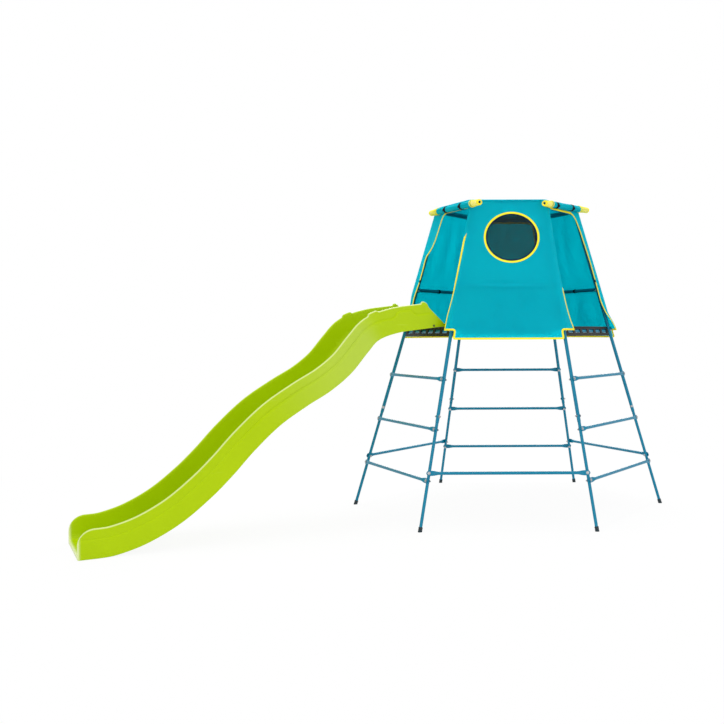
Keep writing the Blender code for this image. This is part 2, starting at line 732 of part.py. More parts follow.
def add_back_flap(tower, cloth):
    """The door flap that hangs down over the back doorway, with its origin on its sewn top edge."""
    lift = COVER_OFFSET + CLOTH + 2 * GAP
    top = DEN_TOP - CLOTH - GAP
    hinge = level_point(BACK_FACE, 0, top, lift)
    rows, columns = 10, 4 * FLAP_FOLDS
    grids = []
    for thickness in (CLOTH, 0.0):
        grid = []
        for r in range(rows + 1):
            share = r / rows
            height = top + (FLAP_HEM_HEIGHT - top) * share
            doorway = (face_distance(height) + COVER_OFFSET - DEN_CORNER_RADIUS) * math.tan(TURN / 2)
            reach = doorway - SIDE_STRIP + FLAP_LAP
            line = []
            for c in range(columns + 1):
                across = -1 + 2 * c / columns
                wave = 1 - math.cos(math.pi * FLAP_FOLDS * (across + 1))
                fold = FLAP_FOLD_DEPTH * share * wave / 2
                line.append(level_point(BACK_FACE, across * reach, height, lift + thickness + fold) - hinge)
            grid.append(line)
        grids.append(grid)
    mesh = sheet_mesh("den_back_flap", grids[0], grids[1], lambda row, column: True)
    piece = coloured(make_object("den_back_flap", mesh, tower), cloth)
    piece.location = hinge


def add_rolls(tower, cloth):
    """The two rolled door flaps: a round body with two strap waists, and stepped cones at its ends."""
    half, body = ROLL_LENGTH / 2, ROLL_BODY_LENGTH / 2
    cone = half - body
    side = [(0, ROLL_RADIUS)]
    strap = ROLL_STRAP_SPACING / 2
    for offset, depth in ((-ROLL_STRAP_HALF_WIDTH, 0), (0, ROLL_WAIST), (ROLL_STRAP_HALF_WIDTH, 0)):
        side.append((strap + offset, ROLL_RADIUS - depth))
    side.append((body, ROLL_RADIUS))
    for turn in range(ROLL_TURNS):
        start = ROLL_RADIUS + (ROLL_TIP_RADIUS - ROLL_RADIUS) * (turn + 0.5) / ROLL_TURNS
        side += [(body + cone * (turn + share) / ROLL_TURNS, start) for share in ROLL_TREAD]
    side += [(half, ROLL_TIP_RADIUS), (half, ROLL_BORE_RADIUS), (half - ROLL_BORE_DEPTH, ROLL_BORE_RADIUS),
             (half - ROLL_BORE_DEPTH, 0)]
    outline = [(-x, r) for x, r in reversed(side[1:])] + side

    mesh = mesh_from("rolled_flap", lambda work: turned(work, outline, TUBE_SIDES))
    lift = COVER_OFFSET + CLOTH + GAP + ROLL_RADIUS
    for name, face, shift in (("rolled_flap_slide", SLIDE_FACE, LEFT_ROLL_SHIFT),
                              ("rolled_flap_entry", ENTRY_FACE, RIGHT_ROLL_SHIFT)):
        along = face_frame(face)[1]
        spot = face_point(face, shift, ROLL_HEIGHT, lift)
        piece = coloured(make_object(name, mesh, tower), cloth)
        piece.matrix_local = Matrix.Translation(spot) @ along.to_track_quat("Z", "Y").to_matrix().to_4x4()


def smooth_wave(points, steps):
    """A smooth curve through points, a few steps from each to the next."""
    curve = []
    count = len(points)
    for i in range(count - 1):
        p0, p1 = np.array(points[max(i - 1, 0)]), np.array(points[i])
        p2, p3 = np.array(points[i + 1]), np.array(points[min(i + 2, count - 1)])
        for step in range(steps):
            t = step / steps
            curve.append(0.5 * (2 * p1 + (p2 - p0) * t + (2 * p0 - 5 * p1 + 4 * p2 - p3) * t ** 2
                                + (3 * p1 - p0 - 3 * p2 + p3) * t ** 3))
    curve.append(np.array(points[-1]))
    return curve


def slide_path():
    """The slide's underside as (run, height, how far along), from the deck's edge to the ground."""
    path, travelled, last = [], 0.0, None
    for run_share, height_share in smooth_wave(SLIDE_WAVE, 2):
        spot = np.array((run_share * SLIDE_RUN, max(height_share, 0.0) * DECK_TOP))
        if last is not None:
            travelled += float(np.linalg.norm(spot - last))
        path.append((float(spot[0]), float(spot[1]), travelled))
        last = spot
    return path


def slide_section(wall, hollow):
    """The slide's closed section as (across, up) points: the outer skin, then the inner skin back.

    Its walls lean in a little and step in partway up; with no hollow its underside is flat."""
    half = SLIDE_WIDTH / 2
    bed = min(SLIDE_BED_RISE, max(wall, SLIDE_SKIN))
    top = max(wall, bed)
    share = top / SLIDE_WALL_HEIGHT
    stepped = half - SLIDE_SIDE_STEP * share
    outer_top = half - SLIDE_WALL_LEAN * share
    inner_top = outer_top - SLIDE_WALL_TOP
    inner_foot = half - SLIDE_WALL_BASE
    below_step, above_step = SLIDE_STEP_SHARES
    high, low, least = (bed + portion * (top - bed) for portion in SLIDE_COVE_SHARES)
    skin = [
        (half, 0.0), (half, below_step * top), (stepped, above_step * top),
        (outer_top, SLIDE_RIM_SHARE * top), (outer_top - SLIDE_RIM_ROUND, top),
        (inner_top + SLIDE_RIM_ROUND, top), (inner_top, high), (inner_foot, low),
        (inner_foot - SLIDE_COVE, least), (inner_foot - SLIDE_COVE_REACH, bed), (0.0, bed),
    ]
    t = SLIDE_SKIN
    under = [
        (half - t, 0.0), (half - t - (half - stepped) / 4, below_step * top),
        (stepped - t, above_step * top), (outer_top - t, SLIDE_RIM_SHARE * top - t),
        (inner_top + t + SLIDE_RIM_ROUND / 3, high - t), (inner_foot + t, low - t),
        (inner_foot - SLIDE_COVE + t / 2, bed - t), (inner_foot - SLIDE_COVE_REACH, bed - t), (0.0, bed - t),
    ]
    if not hollow:
        under = [(x, 0.0) for x, _ in under]
    outline = skin + [(-x, z) for x, z in reversed(skin[:-1])]
    return outline + [(-x, z) for x, z in under] + [(x, z) for x, z in reversed(under[:-1])]


def slide_stations(path):
    """Where the slide's sections stand, as (run, height, heading, wall height, hollow, how far along)."""
    total = path[-1][2]
    runs = [p[0] for p in path]
    rises = [p[1] for p in path]
    lengths = [p[2] for p in path]
    lugs = [float(np.interp(lug * SLIDE_RUN, runs, lengths)) for lug in SLIDE_LUGS]
    marks = set(lengths[1:-1]) | {0.0, SLIDE_ENTRY_SLANT}
    for turn in range(6):
        marks.add(total - SLIDE_END_ROUND * (1 - math.cos(turn * math.pi / 10)))
    for edge in (SLIDE_SKIN, SLIDE_SKIN + SLIDE_PLATE_STEP):
        marks.update((edge, total - edge))
    for middle in lugs:
        for reach in (SLIDE_LUG_LENGTH / 2, SLIDE_LUG_LENGTH / 2 - SLIDE_LUG_RAMP):
            marks.update((middle - reach, middle + reach))

    def at(mark):
        return np.array((np.interp(mark, lengths, runs), np.interp(mark, lengths, rises)))

    stations = []
    for mark in sorted(marks):
        if stations and mark - stations[-1][5] < 0.9 * SLIDE_PLATE_STEP:
            continue
        run, rise = at(mark)
        ahead, behind = at(mark + SLIDE_WALL_TOP), at(mark - SLIDE_WALL_TOP)
        heading = math.atan2(ahead[1] - behind[1], ahead[0] - behind[0])
        wall = SLIDE_WALL_HEIGHT
        if mark < SLIDE_ENTRY_SLANT:
            wall = SLIDE_BED_RISE + (SLIDE_WALL_HEIGHT - SLIDE_BED_RISE) * mark / SLIDE_ENTRY_SLANT
        short = SLIDE_END_ROUND - (total - mark)
        if short > 0:
            wall -= SLIDE_END_ROUND - math.sqrt(max(SLIDE_END_ROUND ** 2 - short ** 2, 0))
        if any(abs(mark - middle) < (SLIDE_LUG_LENGTH - SLIDE_LUG_RAMP) / 2 for middle in lugs):
            wall += SLIDE_LUG_HEIGHT
        hollow = SLIDE_SKIN < mark < total - SLIDE_SKIN
        stations.append((float(run), float(rise), heading, wall, hollow, mark))
    return stations


def slide_point(run, across, height):
    """A point of the slide, run metres out from the deck's edge."""
    out, along, _ = face_frame(SLIDE_FACE)
    edge = face_distance(DECK_TOP) + DECK_SKIRT_WALL
    return out * (edge + run) + along * across + Vector((0, 0, height))


def add_slide(tower, plastic, steel):
    """The double-skinned slide, open underneath, its lip on the deck, and the bolt in each of its sides."""
    path = slide_path()

    def build(work):
        rings = []
        for run, share in ((-SLIDE_LIP, SLIDE_LIP_EDGE_SHARE), (-SLIDE_LIP + SLIDE_LIP_ROUND, 1.0)):
            rings.append([slide_point(run, x, DECK_TOP + GAP + z * share)
                          for x, z in slide_section(SLIDE_BED_RISE, False)])
        for run, rise, heading, wall, hollow, mark in slide_stations(path):
            lifted = rise + (GAP if mark < SLIDE_ENTRY_SLANT / 2 else 0.0)
            rings.append([slide_point(run - z * math.sin(heading), x, lifted + z * math.cos(heading))
                          for x, z in slide_section(wall, hollow)])
        closed_loft(work, rings)

    piece = make_object("slide", mesh_from("slide", build), tower)
    along = face_frame(SLIDE_FACE)[1]
    rise = float(np.interp(SLIDE_BOLT_RUN, [p[0] for p in path], [p[1] for p in path])) + SLIDE_BOLT_RISE
    bore = SLIDE_BOLT_RADIUS + GAP
    head = GAP + SLIDE_BOLT_HEAD_HEIGHT
    bolt = mesh_from("slide_bolt", lambda work: turned(work, [
        (-SLIDE_BOLT_LENGTH, 0), (-SLIDE_BOLT_LENGTH, SLIDE_BOLT_RADIUS), (GAP, SLIDE_BOLT_RADIUS),
        (GAP, SLIDE_BOLT_HEAD), (head - SLIDE_BOLT_CHAMFER, SLIDE_BOLT_HEAD), (head, SLIDE_BOLT_HEAD / 2),
        (head, 0)], BOLT_SIDES))
    cutters = []
    for name, side in (("slide_bolt_front", 1), ("slide_bolt_back", -1)):
        placed = Matrix.Translation(slide_point(SLIDE_BOLT_RUN, side * SLIDE_WIDTH / 2, rise))
        placed = placed @ (along * side).to_track_quat("Z", "Y").to_matrix().to_4x4()
        cutter = make_object("hole", mesh_from("hole", lambda work: turned(work, [
            (-CUT_REACH, 0), (-CUT_REACH, bore), (CUT_REACH, bore), (CUT_REACH, 0)], BOLT_SIDES)), None)
        cutter.matrix_world = placed
        cutters.append(cutter)
        coloured(make_object(name, bolt, tower), steel).matrix_local = placed
    combined(piece, cutters, "DIFFERENCE")
    coloured(piece, plastic)


def stand_on_origin(tower):
    """Moves the tower so that the middle of the whole object's base is the origin."""
    bpy.context.view_layer.update()
    graph = bpy.context.evaluated_depsgraph_get()
    points = []
    for piece in bpy.context.scene.objects:
        if piece.type == "MESH":
            shape = piece.evaluated_get(graph)
            points += [shape.matrix_world @ vertex.co for vertex in shape.data.vertices]
    low = [min(point[axis] for point in points) for axis in range(3)]
    high = [max(point[axis] for point in points) for axis in range(3)]
    tower.location = (-(low[0] + high[0]) / 2, -(low[1] + high[1]) / 2, -low[2])
    bpy.context.view_layer.update()
    print("tower axis at", [round(value, 5) for value in tower.location])
    print("size", [round(b - a, 4) for a, b in zip(low, high)])


def main():
    """Builds every sub-part."""
    clear_scene()
    tower = bpy.data.objects.new("tower_axis", None)
    bpy.context.scene.collection.objects.link(tower)
    painted = finish("teal_paint", (0.0, 0.22, 0.38), 0.35, 0.1)
    rubber = finish("foot_rubber", (0.02, 0.03, 0.035), 0.7)
    black = finish("black_plastic", (0.02, 0.02, 0.022), 0.6)
    cloth = finish("teal_cloth", (0.0, 0.43, 0.60), 0.85)
    net = finish("dark_net", (0.02, 0.09, 0.10), 0.9)
    lime = finish("lime_plastic", (0.36, 0.60, 0.0), 0.4)
    zinc = finish("zinc", (0.6, 0.6, 0.6), 0.35, 0.9)
    add_legs(tower, painted, rubber)
    add_all_bars(tower, painted)
    add_deck(tower, black)
    add_walls(tower, cloth, net)
    add_roof(tower, cloth)
    add_back_flap(tower, cloth)
    add_rolls(tower, cloth)
    add_slide(tower, lime, zinc)
    stand_on_origin(tower)


main()
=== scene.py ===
# %% [markdown]
# # A play tower with a slide
# The tower is a six-legged steel frame with a plastic deck, a cloth den on top and a moulded slide.
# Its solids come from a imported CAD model, which is loaded first and never moved. This lesson gives each
# piece its real surface, and each new piece sits exactly where its solid is.

import math
from functools import partial

import bmesh
import bpy
import numpy as np
from mathutils import Matrix, Vector, geometry, noise


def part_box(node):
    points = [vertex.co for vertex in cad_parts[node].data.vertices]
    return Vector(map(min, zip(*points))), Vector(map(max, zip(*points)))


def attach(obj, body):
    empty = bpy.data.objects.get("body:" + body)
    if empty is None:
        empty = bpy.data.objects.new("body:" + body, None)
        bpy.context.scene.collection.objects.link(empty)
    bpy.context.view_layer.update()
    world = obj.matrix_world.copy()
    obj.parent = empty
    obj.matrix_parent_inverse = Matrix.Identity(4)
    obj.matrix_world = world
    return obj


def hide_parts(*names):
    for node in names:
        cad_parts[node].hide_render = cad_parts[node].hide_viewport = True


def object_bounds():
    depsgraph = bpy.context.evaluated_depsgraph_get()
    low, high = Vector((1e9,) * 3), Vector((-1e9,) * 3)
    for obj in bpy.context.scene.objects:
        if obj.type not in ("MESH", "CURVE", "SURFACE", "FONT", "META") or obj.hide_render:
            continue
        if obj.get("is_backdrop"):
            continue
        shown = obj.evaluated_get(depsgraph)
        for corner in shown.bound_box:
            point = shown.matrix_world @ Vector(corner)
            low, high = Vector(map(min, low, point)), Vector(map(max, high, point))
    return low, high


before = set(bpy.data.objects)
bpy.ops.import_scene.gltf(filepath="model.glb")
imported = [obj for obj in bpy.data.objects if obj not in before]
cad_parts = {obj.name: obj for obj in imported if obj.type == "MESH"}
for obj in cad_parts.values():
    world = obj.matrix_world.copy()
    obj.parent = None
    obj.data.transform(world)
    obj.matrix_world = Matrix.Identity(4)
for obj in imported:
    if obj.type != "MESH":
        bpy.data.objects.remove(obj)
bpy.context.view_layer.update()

# %% [markdown]
# ## The tower's own measures
# The tower has six equal sides, so one set of formulas places everything on it: how far a leg is from the
# middle at a height, and where a point of a face is. The middle is read from the six foot caps, and the
# sizes repeat the CAD model's, in metres.

# %% Measures and the formulas of the six sides
LEG_NAMES = ("right", "back_right", "back_left", "left", "front_left", "front_right")
FACE_NAMES = ("back_right", "back", "back_left", "slide", "front", "entry")
LADDER_FACES, SINGLE_FACES = (1, 3, 5), (0, 2, 4)
RIGHT_FACE, BACK_FACE, LEFT_FACE, SLIDE_FACE, FRONT_FACE, ENTRY_FACE = range(6)
TURN = math.radians(60)
LEG_LEAN = math.radians(16.46)
FOOT_CIRCLE = 1.036
GAP = 0.0003
POLE_RADIUS, LEG_RADIUS = 0.011, 0.0095
RUNG_RADIUS, RAIL_RADIUS = 0.0095, 0.011
TAB_THICKNESS, TAB_HALF_WIDTH, TAB_LENGTH, TAB_TAPER, TAB_OVERHANG = 0.004, 0.0155, 0.034, 0.045, 0.016
JOINT_HEIGHT, POLE_TOP = 0.661, 1.985
RUNG_HEIGHTS, LOW_BAR_HEIGHT, GUARD_RAIL_HEIGHT = (0.2905, 0.5865, 0.8835), 0.333, 1.450
TOP_BAR_HEIGHT, BOLT_STAGGER = 1.974, 0.012
DECK_TOP, DECK_FLOOR, DEN_TOP, CLOTH = 1.200, 0.005, 2.000, 0.003
SLOPE = math.tan(LEG_LEAN)
FACE_LEAN_COS = math.cos(math.atan(SLOPE * math.cos(TURN / 2)))
RAIL_OFFSET = POLE_RADIUS + GAP + TAB_THICKNESS / 2
LOW_OFFSET = LEG_RADIUS + GAP + TAB_THICKNESS / 2
COVER_OFFSET = RAIL_OFFSET + RAIL_RADIUS + 4 * GAP
DECK_BAR_HEIGHT = DECK_TOP - DECK_FLOOR - GAP - RAIL_RADIUS

caps = [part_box(f"foot_cap_{name}") for name in LEG_NAMES]
AXIS = sum(((low + high) / 2 for low, high in caps), Vector()) / 6
AXIS.z = 0
AT_TOWER = Matrix.Translation(AXIS)
print("tower's middle", [round(v, 5) for v in AXIS])


def smooth(start, end, value):
    """0 before start, 1 after end, and an even S between them."""
    share = min(max((value - start) / (end - start), 0.0), 1.0)
    return share * share * (3 - 2 * share)


def leg_radius_at(height):
    """How far a leg's middle is from the tower's, at a height."""
    return FOOT_CIRCLE - SLOPE * height


def face_distance(height):
    """How far a face is from the tower's middle, at a height."""
    return leg_radius_at(height) * math.cos(TURN / 2)


def face_frame(face):
    """A face's three directions: level and outwards, level along it, and square to it."""
    angle = TURN / 2 + face * TURN
    out = Vector((math.cos(angle), math.sin(angle), 0))
    along = Vector((-math.sin(angle), math.cos(angle), 0))
    return out, along, (out + Vector((0, 0, SLOPE * math.cos(TURN / 2)))).normalized()


def level_point(face, x, height, lift):
    """A point of a face at this very height, in the tower's own frame."""
    out, along, _ = face_frame(face)
    return out * (face_distance(height) + lift / FACE_LEAN_COS) + along * x + Vector((0, 0, height))


# %% [markdown]
# ## Camera
# The photograph was taken a little below the deck's height, from about six metres. Its middle is on the
# tower while the slide fills the left of the frame, so the lens is shifted sideways, as a view camera's is.

# %% Camera at the photograph's place
scene = bpy.context.scene
camera_data = bpy.data.cameras.new("camera")
camera_data.lens, camera_data.sensor_width, camera_data.shift_x = 46.48, 36, -0.2008
camera_data.clip_end = 200
camera = bpy.data.objects.new("camera", camera_data)
scene.collection.objects.link(camera)
around = Matrix.Rotation(-0.00422, 4, "Z")
aim = Matrix.Rotation(math.radians(90 - 1.8375), 4, "X") @ Matrix.Rotation(-0.00364, 4, "Z")
camera.matrix_world = AT_TOWER @ around @ Matrix.Translation((0, -6.324, 1.166)) @ aim
scene.camera = camera
scene.view_settings.view_transform = "Standard"

# %% [markdown]
# ## Node helpers
# Materials and Geometry Nodes trees are both graphs. A few small helpers keep their code short: they add a
# node and link its inputs, do sums, mix colours, and start a group with named sockets.

# %% Helpers for node graphs
def add_node(tree, kind, links=None, **settings):
    """A node with its settings. An input is given a value, a socket, or a node, for that node's first output."""
    node = tree.nodes.new(kind)
    for name, value in settings.items():
        setattr(node, name, value)
    for key, value in (links or {}).items():
        if isinstance(value, bpy.types.Node):
            value = value.outputs[0]
        if isinstance(value, bpy.types.NodeSocket):
            tree.links.new(value, node.inputs[key])
        else:
            node.inputs[key].default_value = value
    return node


def sum_of(tree, operation, *values, clamp=False):
    """A Math node's result."""
    return add_node(tree, "ShaderNodeMath", dict(enumerate(values)), operation=operation, use_clamp=clamp).outputs[0]


def mixed(tree, share, first, second):
    """A colour between two, by share."""
    return add_node(tree, "ShaderNodeMix", {0: share, 6: first, 7: second}, data_type="RGBA").outputs[2]


def start_group(name, kind, output, **inputs):
    """A node group with its inputs' and output's sockets. An input is a number or a type; _ stands for a space."""
    group = bpy.data.node_groups.new(name, kind)
    for label, value in inputs.items():
        socket = value if isinstance(value, str) else "Float"
        made = group.interface.new_socket(label.replace("_", " "), in_out="INPUT", socket_type=f"NodeSocket{socket}")
        if socket == "Float":
            made.default_value = value
    socket = "Geometry" if output == "Geometry" else "Float"
    group.interface.new_socket(output, in_out="OUTPUT", socket_type=f"NodeSocket{socket}")
    return group, group.nodes.new("NodeGroupInput").outputs, group.nodes.new("NodeGroupOutput").inputs[0]


def use_group(tree, group, **values):
    """The group as a node, with its inputs set by name."""
    return add_node(tree, "ShaderNodeGroup", values, node_tree=group)


def paint(red, green, blue):
    """A colour as it is read off a picture, turned into light."""
    values = [value / 255 for value in (red, green, blue)]
    return (*(v / 12.92 if v <= 0.04045 else ((v + 0.055) / 1.055) ** 2.4 for v in values), 1.0)


def start_material(name, **shader):
    """A material whose Principled shader has these constant values."""
    material = bpy.data.materials.new(name)
    material.use_nodes = True
    tree = material.node_tree
    bsdf = tree.nodes["Principled BSDF"].inputs
    for key, value in shader.items():
        bsdf[key.replace("_", " ")].default_value = value
    return material, tree, bsdf


# %% [markdown]
# ## Effects that several finishes share
# Woven cloth, webbing and binding all show threads, and every moulded or painted surface has a fine grain
# and small marks. Each effect is one node group that puts out a height or a mask, and each material uses it
# with its own sizes.

# %% Shared effects: weave, mottle, grain and scuffs
def make_weave():
    """Plain weave: threads go over and under each other, one pitch apart."""
    group, given, height = start_group("plain_weave", "ShaderNodeTree", "Height", Vector="Vector", Pitch=0.001)
    m = partial(sum_of, group)
    parts = add_node(group, "ShaderNodeSeparateXYZ", {0: given["Vector"]}).outputs
    pace = m("DIVIDE", math.pi, given["Pitch"])
    waves = [m("SINE", m("MULTIPLY", parts[axis], pace)) for axis in (0, 1)]
    over = m("GREATER_THAN", m("MULTIPLY", *waves), 0.0)
    first, second = (m("ABSOLUTE", wave) for wave in waves)
    lifted = m("MULTIPLY", over, m("SUBTRACT", first, second))
    group.links.new(m("ADD", second, lifted), height)
    return group


def make_mottle():
    """Slow, soft change from place to place, from 0 to 1."""
    group, given, mask = start_group("mottle", "ShaderNodeTree", "Mask", Vector="Vector", Scale=6.0, Contrast=1.0)
    cloud = add_node(group, "ShaderNodeTexNoise", {
        "Vector": given["Vector"], "Scale": given["Scale"], "Detail": 3.0, "Roughness": 0.55})
    centred = sum_of(group, "SUBTRACT", cloud.outputs["Fac"], 0.5)
    spread = sum_of(group, "MULTIPLY_ADD", centred, given["Contrast"], 0.5)
    group.links.new(add_node(group, "ShaderNodeClamp", {"Value": spread}).outputs[0], mask)
    return group


def make_grain():
    """The fine, even bumps of moulded plastic or sprayed paint."""
    group, given, height = start_group("grain", "ShaderNodeTree", "Height", Vector="Vector", Size=0.002)
    fine = add_node(group, "ShaderNodeTexNoise", {
        "Vector": given["Vector"], "Scale": sum_of(group, "DIVIDE", 1.0, given["Size"]), "Detail": 2.0,
        "Roughness": 0.5})
    group.links.new(fine.outputs["Fac"], height)
    return group


def make_scuffs():
    """Thin marks along X, as things that slide over a surface leave."""
    group, given, mask = start_group("scuffs", "ShaderNodeTree", "Mask", Vector="Vector", Scale=20.0, Amount=0.3)
    stretched = add_node(group, "ShaderNodeMapping", {"Vector": given["Vector"], "Scale": (0.06, 1.0, 1.0)})
    lines = add_node(group, "ShaderNodeTexNoise", {
        "Vector": stretched, "Scale": given["Scale"], "Detail": 4.0, "Roughness": 0.7})
    start = sum_of(group, "SUBTRACT", 0.75, sum_of(group, "MULTIPLY", given["Amount"], 0.3))
    shown = add_node(group, "ShaderNodeMapRange", {
        "Value": lines.outputs["Fac"], "From Min": start, "From Max": sum_of(group, "ADD", start, 0.12)})
    group.links.new(shown.outputs[0], mask)
    return group


WEAVE, MOTTLE, GRAIN, SCUFFS = make_weave(), make_mottle(), make_grain(), make_scuffs()
print("node groups", [group.name for group in (WEAVE, MOTTLE, GRAIN, SCUFFS)])

# %% [markdown]
# ## Cloth, binding and webbing
# The den is matt woven polyester. Its edges are bound with a bright tape and it is tied on with black
# webbing. All read the piece's own UV map, which is laid out in metres, so the threads follow the cloth
# round corners and into rolls. The den's cloth lets light through, so its inside isn't dark.

# %% Cloth finishes
def cloth_material(name, light, dark, pitch, roughness, bump=0.0004, **shader):
    """Woven cloth between two colours. pitch is the threads' spacing in metres."""
    material, tree, bsdf = start_material(name, Roughness=roughness, Specular_IOR_Level=0.06, **shader)
    place = add_node(tree, "ShaderNodeTexCoord").outputs["Object"]
    threads = use_group(tree, WEAVE, Vector=add_node(tree, "ShaderNodeUVMap", uv_map="UVMap"), Pitch=pitch).outputs[0]
    clouds = use_group(tree, MOTTLE, Vector=place, Scale=5.0, Contrast=1.4).outputs[0]
    shade = sum_of(tree, "MULTIPLY_ADD", threads, 0.35, sum_of(tree, "MULTIPLY", clouds, 0.65))
    tree.links.new(mixed(tree, shade, paint(*dark), paint(*light)), bsdf["Base Color"])
    creases = add_node(tree, "ShaderNodeTexNoise", {"Vector": place, "Scale": 14.0, "Detail": 3.0}).outputs["Fac"]
    height = sum_of(tree, "MULTIPLY_ADD", creases, 6.0, threads)
    raised = add_node(tree, "ShaderNodeBump", {"Strength": 0.5, "Distance": bump, "Height": height})
    tree.links.new(raised.outputs[0], bsdf["Normal"])
    return material


TEAL_CLOTH = cloth_material("teal_cloth", (0, 182, 210), (0, 165, 192), 0.0011, 0.82,
                            Subsurface_Weight=0.9, Subsurface_Radius=(1, 1, 1), Subsurface_Scale=0.009)
YELLOW_BINDING = cloth_material("yellow_binding", (255, 244, 62), (252, 234, 46), 0.0014, 0.7, 0.0003)
# A paler yellow for the bands between the bound turns at the rolls' ends; the ends look ribbed where the two alternate.
PALE_ROLL_BANDS = cloth_material("pale_binding", (252, 252, 228), (240, 240, 196), 0.0014, 0.7, 0.0003)
BLACK_WEBBING = cloth_material("black_webbing", (34, 34, 36), (16, 16, 18), 0.0018, 0.75, 0.0005)
# The navy tape is partly real and partly painted shadow: its dark colour stands for the shade just inside the window's
# binding.
NAVY_SHADOW_TAPE = cloth_material("navy_tape", (14, 34, 78), (8, 22, 58), 0.0014, 0.8, 0.0003)
DARK_NET = cloth_material("dark_net", (38, 52, 54), (24, 37, 39), 0.0006, 0.7, 0.0001)
THREAD = cloth_material("thread", (250, 226, 70), (226, 196, 40), 0.0005, 0.7, 0.0001)

# %% [markdown]
# ## Paint, rubber, plastic and zinc
# The tubes are powder coated, which leaves a faint orange peel. The deck is black moulded plastic with a
# fine grain, and the slide is blow-moulded plastic that gets scuffed lengthwise where children slide. These
# patterns read Object coordinates, so that they stay put on the piece. Where the slide's points carry the
# attribute "rim", its colour is painted paler: a painted highlight along its rims and its foot's edge, and a
# painted sheen on the steep part of its outer walls.

# %% Hard finishes
def hard_material(name, light, dark, roughness, grain, bump, scuff=(0, 0, 0), amount=0.0, turn=0.0, mottle=4.0,
                  rim=None, **shader):
    """Paint, plastic, rubber or metal: mottled between two colours, grained, and marked with scuffs."""
    material, tree, bsdf = start_material(name, **shader)
    place = add_node(tree, "ShaderNodeTexCoord").outputs["Object"]
    clouds = use_group(tree, MOTTLE, Vector=place, Scale=mottle, Contrast=1.2).outputs[0]
    colour = mixed(tree, clouds, paint(*dark), paint(*light))
    # Painted highlight: where the attribute "rim" is set, the colour is mixed towards the rim colour.
    if rim:
        painted_highlight_share = add_node(tree, "ShaderNodeAttribute", attribute_name="rim").outputs["Fac"]
        colour = mixed(tree, painted_highlight_share, colour, paint(*rim))
    turned_place = add_node(tree, "ShaderNodeMapping", {"Vector": place, "Rotation": (0, 0, turn)})
    marks = use_group(tree, SCUFFS, Vector=turned_place, Scale=26.0, Amount=amount).outputs[0]
    share = sum_of(tree, "MULTIPLY", marks, 0.5 if amount else 0.0)
    tree.links.new(mixed(tree, share, colour, paint(*scuff)), bsdf["Base Color"])
    low, high = roughness
    rough = sum_of(tree, "MULTIPLY_ADD", clouds, high - low, low)
    tree.links.new(sum_of(tree, "MULTIPLY_ADD", marks, 0.15, rough), bsdf["Roughness"])
    bumps = use_group(tree, GRAIN, Vector=place, Size=grain)
    raised = add_node(tree, "ShaderNodeBump", {"Strength": 0.35, "Distance": bump, "Height": bumps})
    tree.links.new(raised.outputs[0], bsdf["Normal"])
    return material


FRAME_PAINT = hard_material("frame_paint", (0, 130, 162), (0, 115, 148), (0.3, 0.42), 0.0035, 0.0002,
                            (120, 170, 180), 0.25, Specular_IOR_Level=0.25)
FOOT_RUBBER = hard_material("foot_rubber", (26, 48, 56), (16, 32, 38), (0.6, 0.8), 0.001, 0.0002, (90, 90, 84), 0.5)
DECK_PLASTIC = hard_material("deck_plastic", (27, 25, 27), (16, 15, 17), (0.45, 0.6), 0.0012, 0.0003,
                             (120, 112, 104), 0.35, mottle=8.0, Specular_IOR_Level=0.3)
# The slide's rim colour is the painted highlight and painted sheen that its attribute "rim" lays on.
SLIDE_PLASTIC = hard_material("slide_plastic", (178, 206, 0), (168, 198, 0), (0.28, 0.38), 0.004, 0.0003,
                              (200, 224, 90), 0.3, math.radians(150), rim=(240, 244, 196), Specular_IOR_Level=0.12)
ZINC = hard_material("zinc", (200, 202, 204), (160, 162, 166), (0.25, 0.45), 0.001, 0.0001, (120, 120, 120), 0.3,
                     Metallic=0.9)
# Painted shade: the slide bolts' dark olive colour stands for the shade of the recesses that they sit in.
RECESS_SHADED_STEEL = hard_material("dark_steel", (86, 100, 40), (60, 72, 30), (0.4, 0.5), 0.001, 0.0001,
                           Specular_IOR_Level=0.3)
print("materials", len(bpy.data.materials))

# %% [markdown]
# ## Making and keeping a piece
# Every finished piece is a mesh with its place in its own points, set in the tower's frame and riding on one
# of the model's bodies. A loft joins rings of points into a closed skin, and it makes tubes, tapes, trims
# and the slide.

# %% Helpers that make pieces
def keep_piece(name, mesh, material, body="tower", stands_for=(), angle=40, placed=AT_TOWER):
    """Shows a mesh as a piece of the object: moved into the model's frame, with its finish."""
    mesh.name = name
    mesh.transform(placed)
    mesh.materials.clear()
    mesh.materials.append(material)
    mesh.polygons.foreach_set("use_smooth", [True] * len(mesh.polygons))
    mesh.set_sharp_from_angle(angle=math.radians(angle))
    made = bpy.data.objects.new(name, mesh)
    scene.collection.objects.link(made)
    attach(made, body)
    if stands_for:
        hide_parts(*stands_for)
    return made


def as_mesh(work, name):
    """What a bmesh holds, as a mesh, and frees the bmesh."""
    mesh = bpy.data.meshes.new(name)
    work.to_mesh(mesh)
    work.free()
    return mesh


# %% Helpers that join, move and loft meshes
def joined(meshes):
    """One mesh out of several, with their UV maps."""
    work = bmesh.new()
    for mesh in meshes:
        work.from_mesh(mesh)
        bpy.data.meshes.remove(mesh)
    return as_mesh(work, "joined")


def moved(mesh, matrix):
    """The same mesh, after it is moved."""
    mesh.transform(matrix)
    return mesh


def running_lengths(points):
    """How far each point is along the line that joins them."""
    lengths = [0.0]
    for one, two in zip(points, points[1:]):
        lengths.append(lengths[-1] + (Vector(two) - Vector(one)).length)
    return lengths


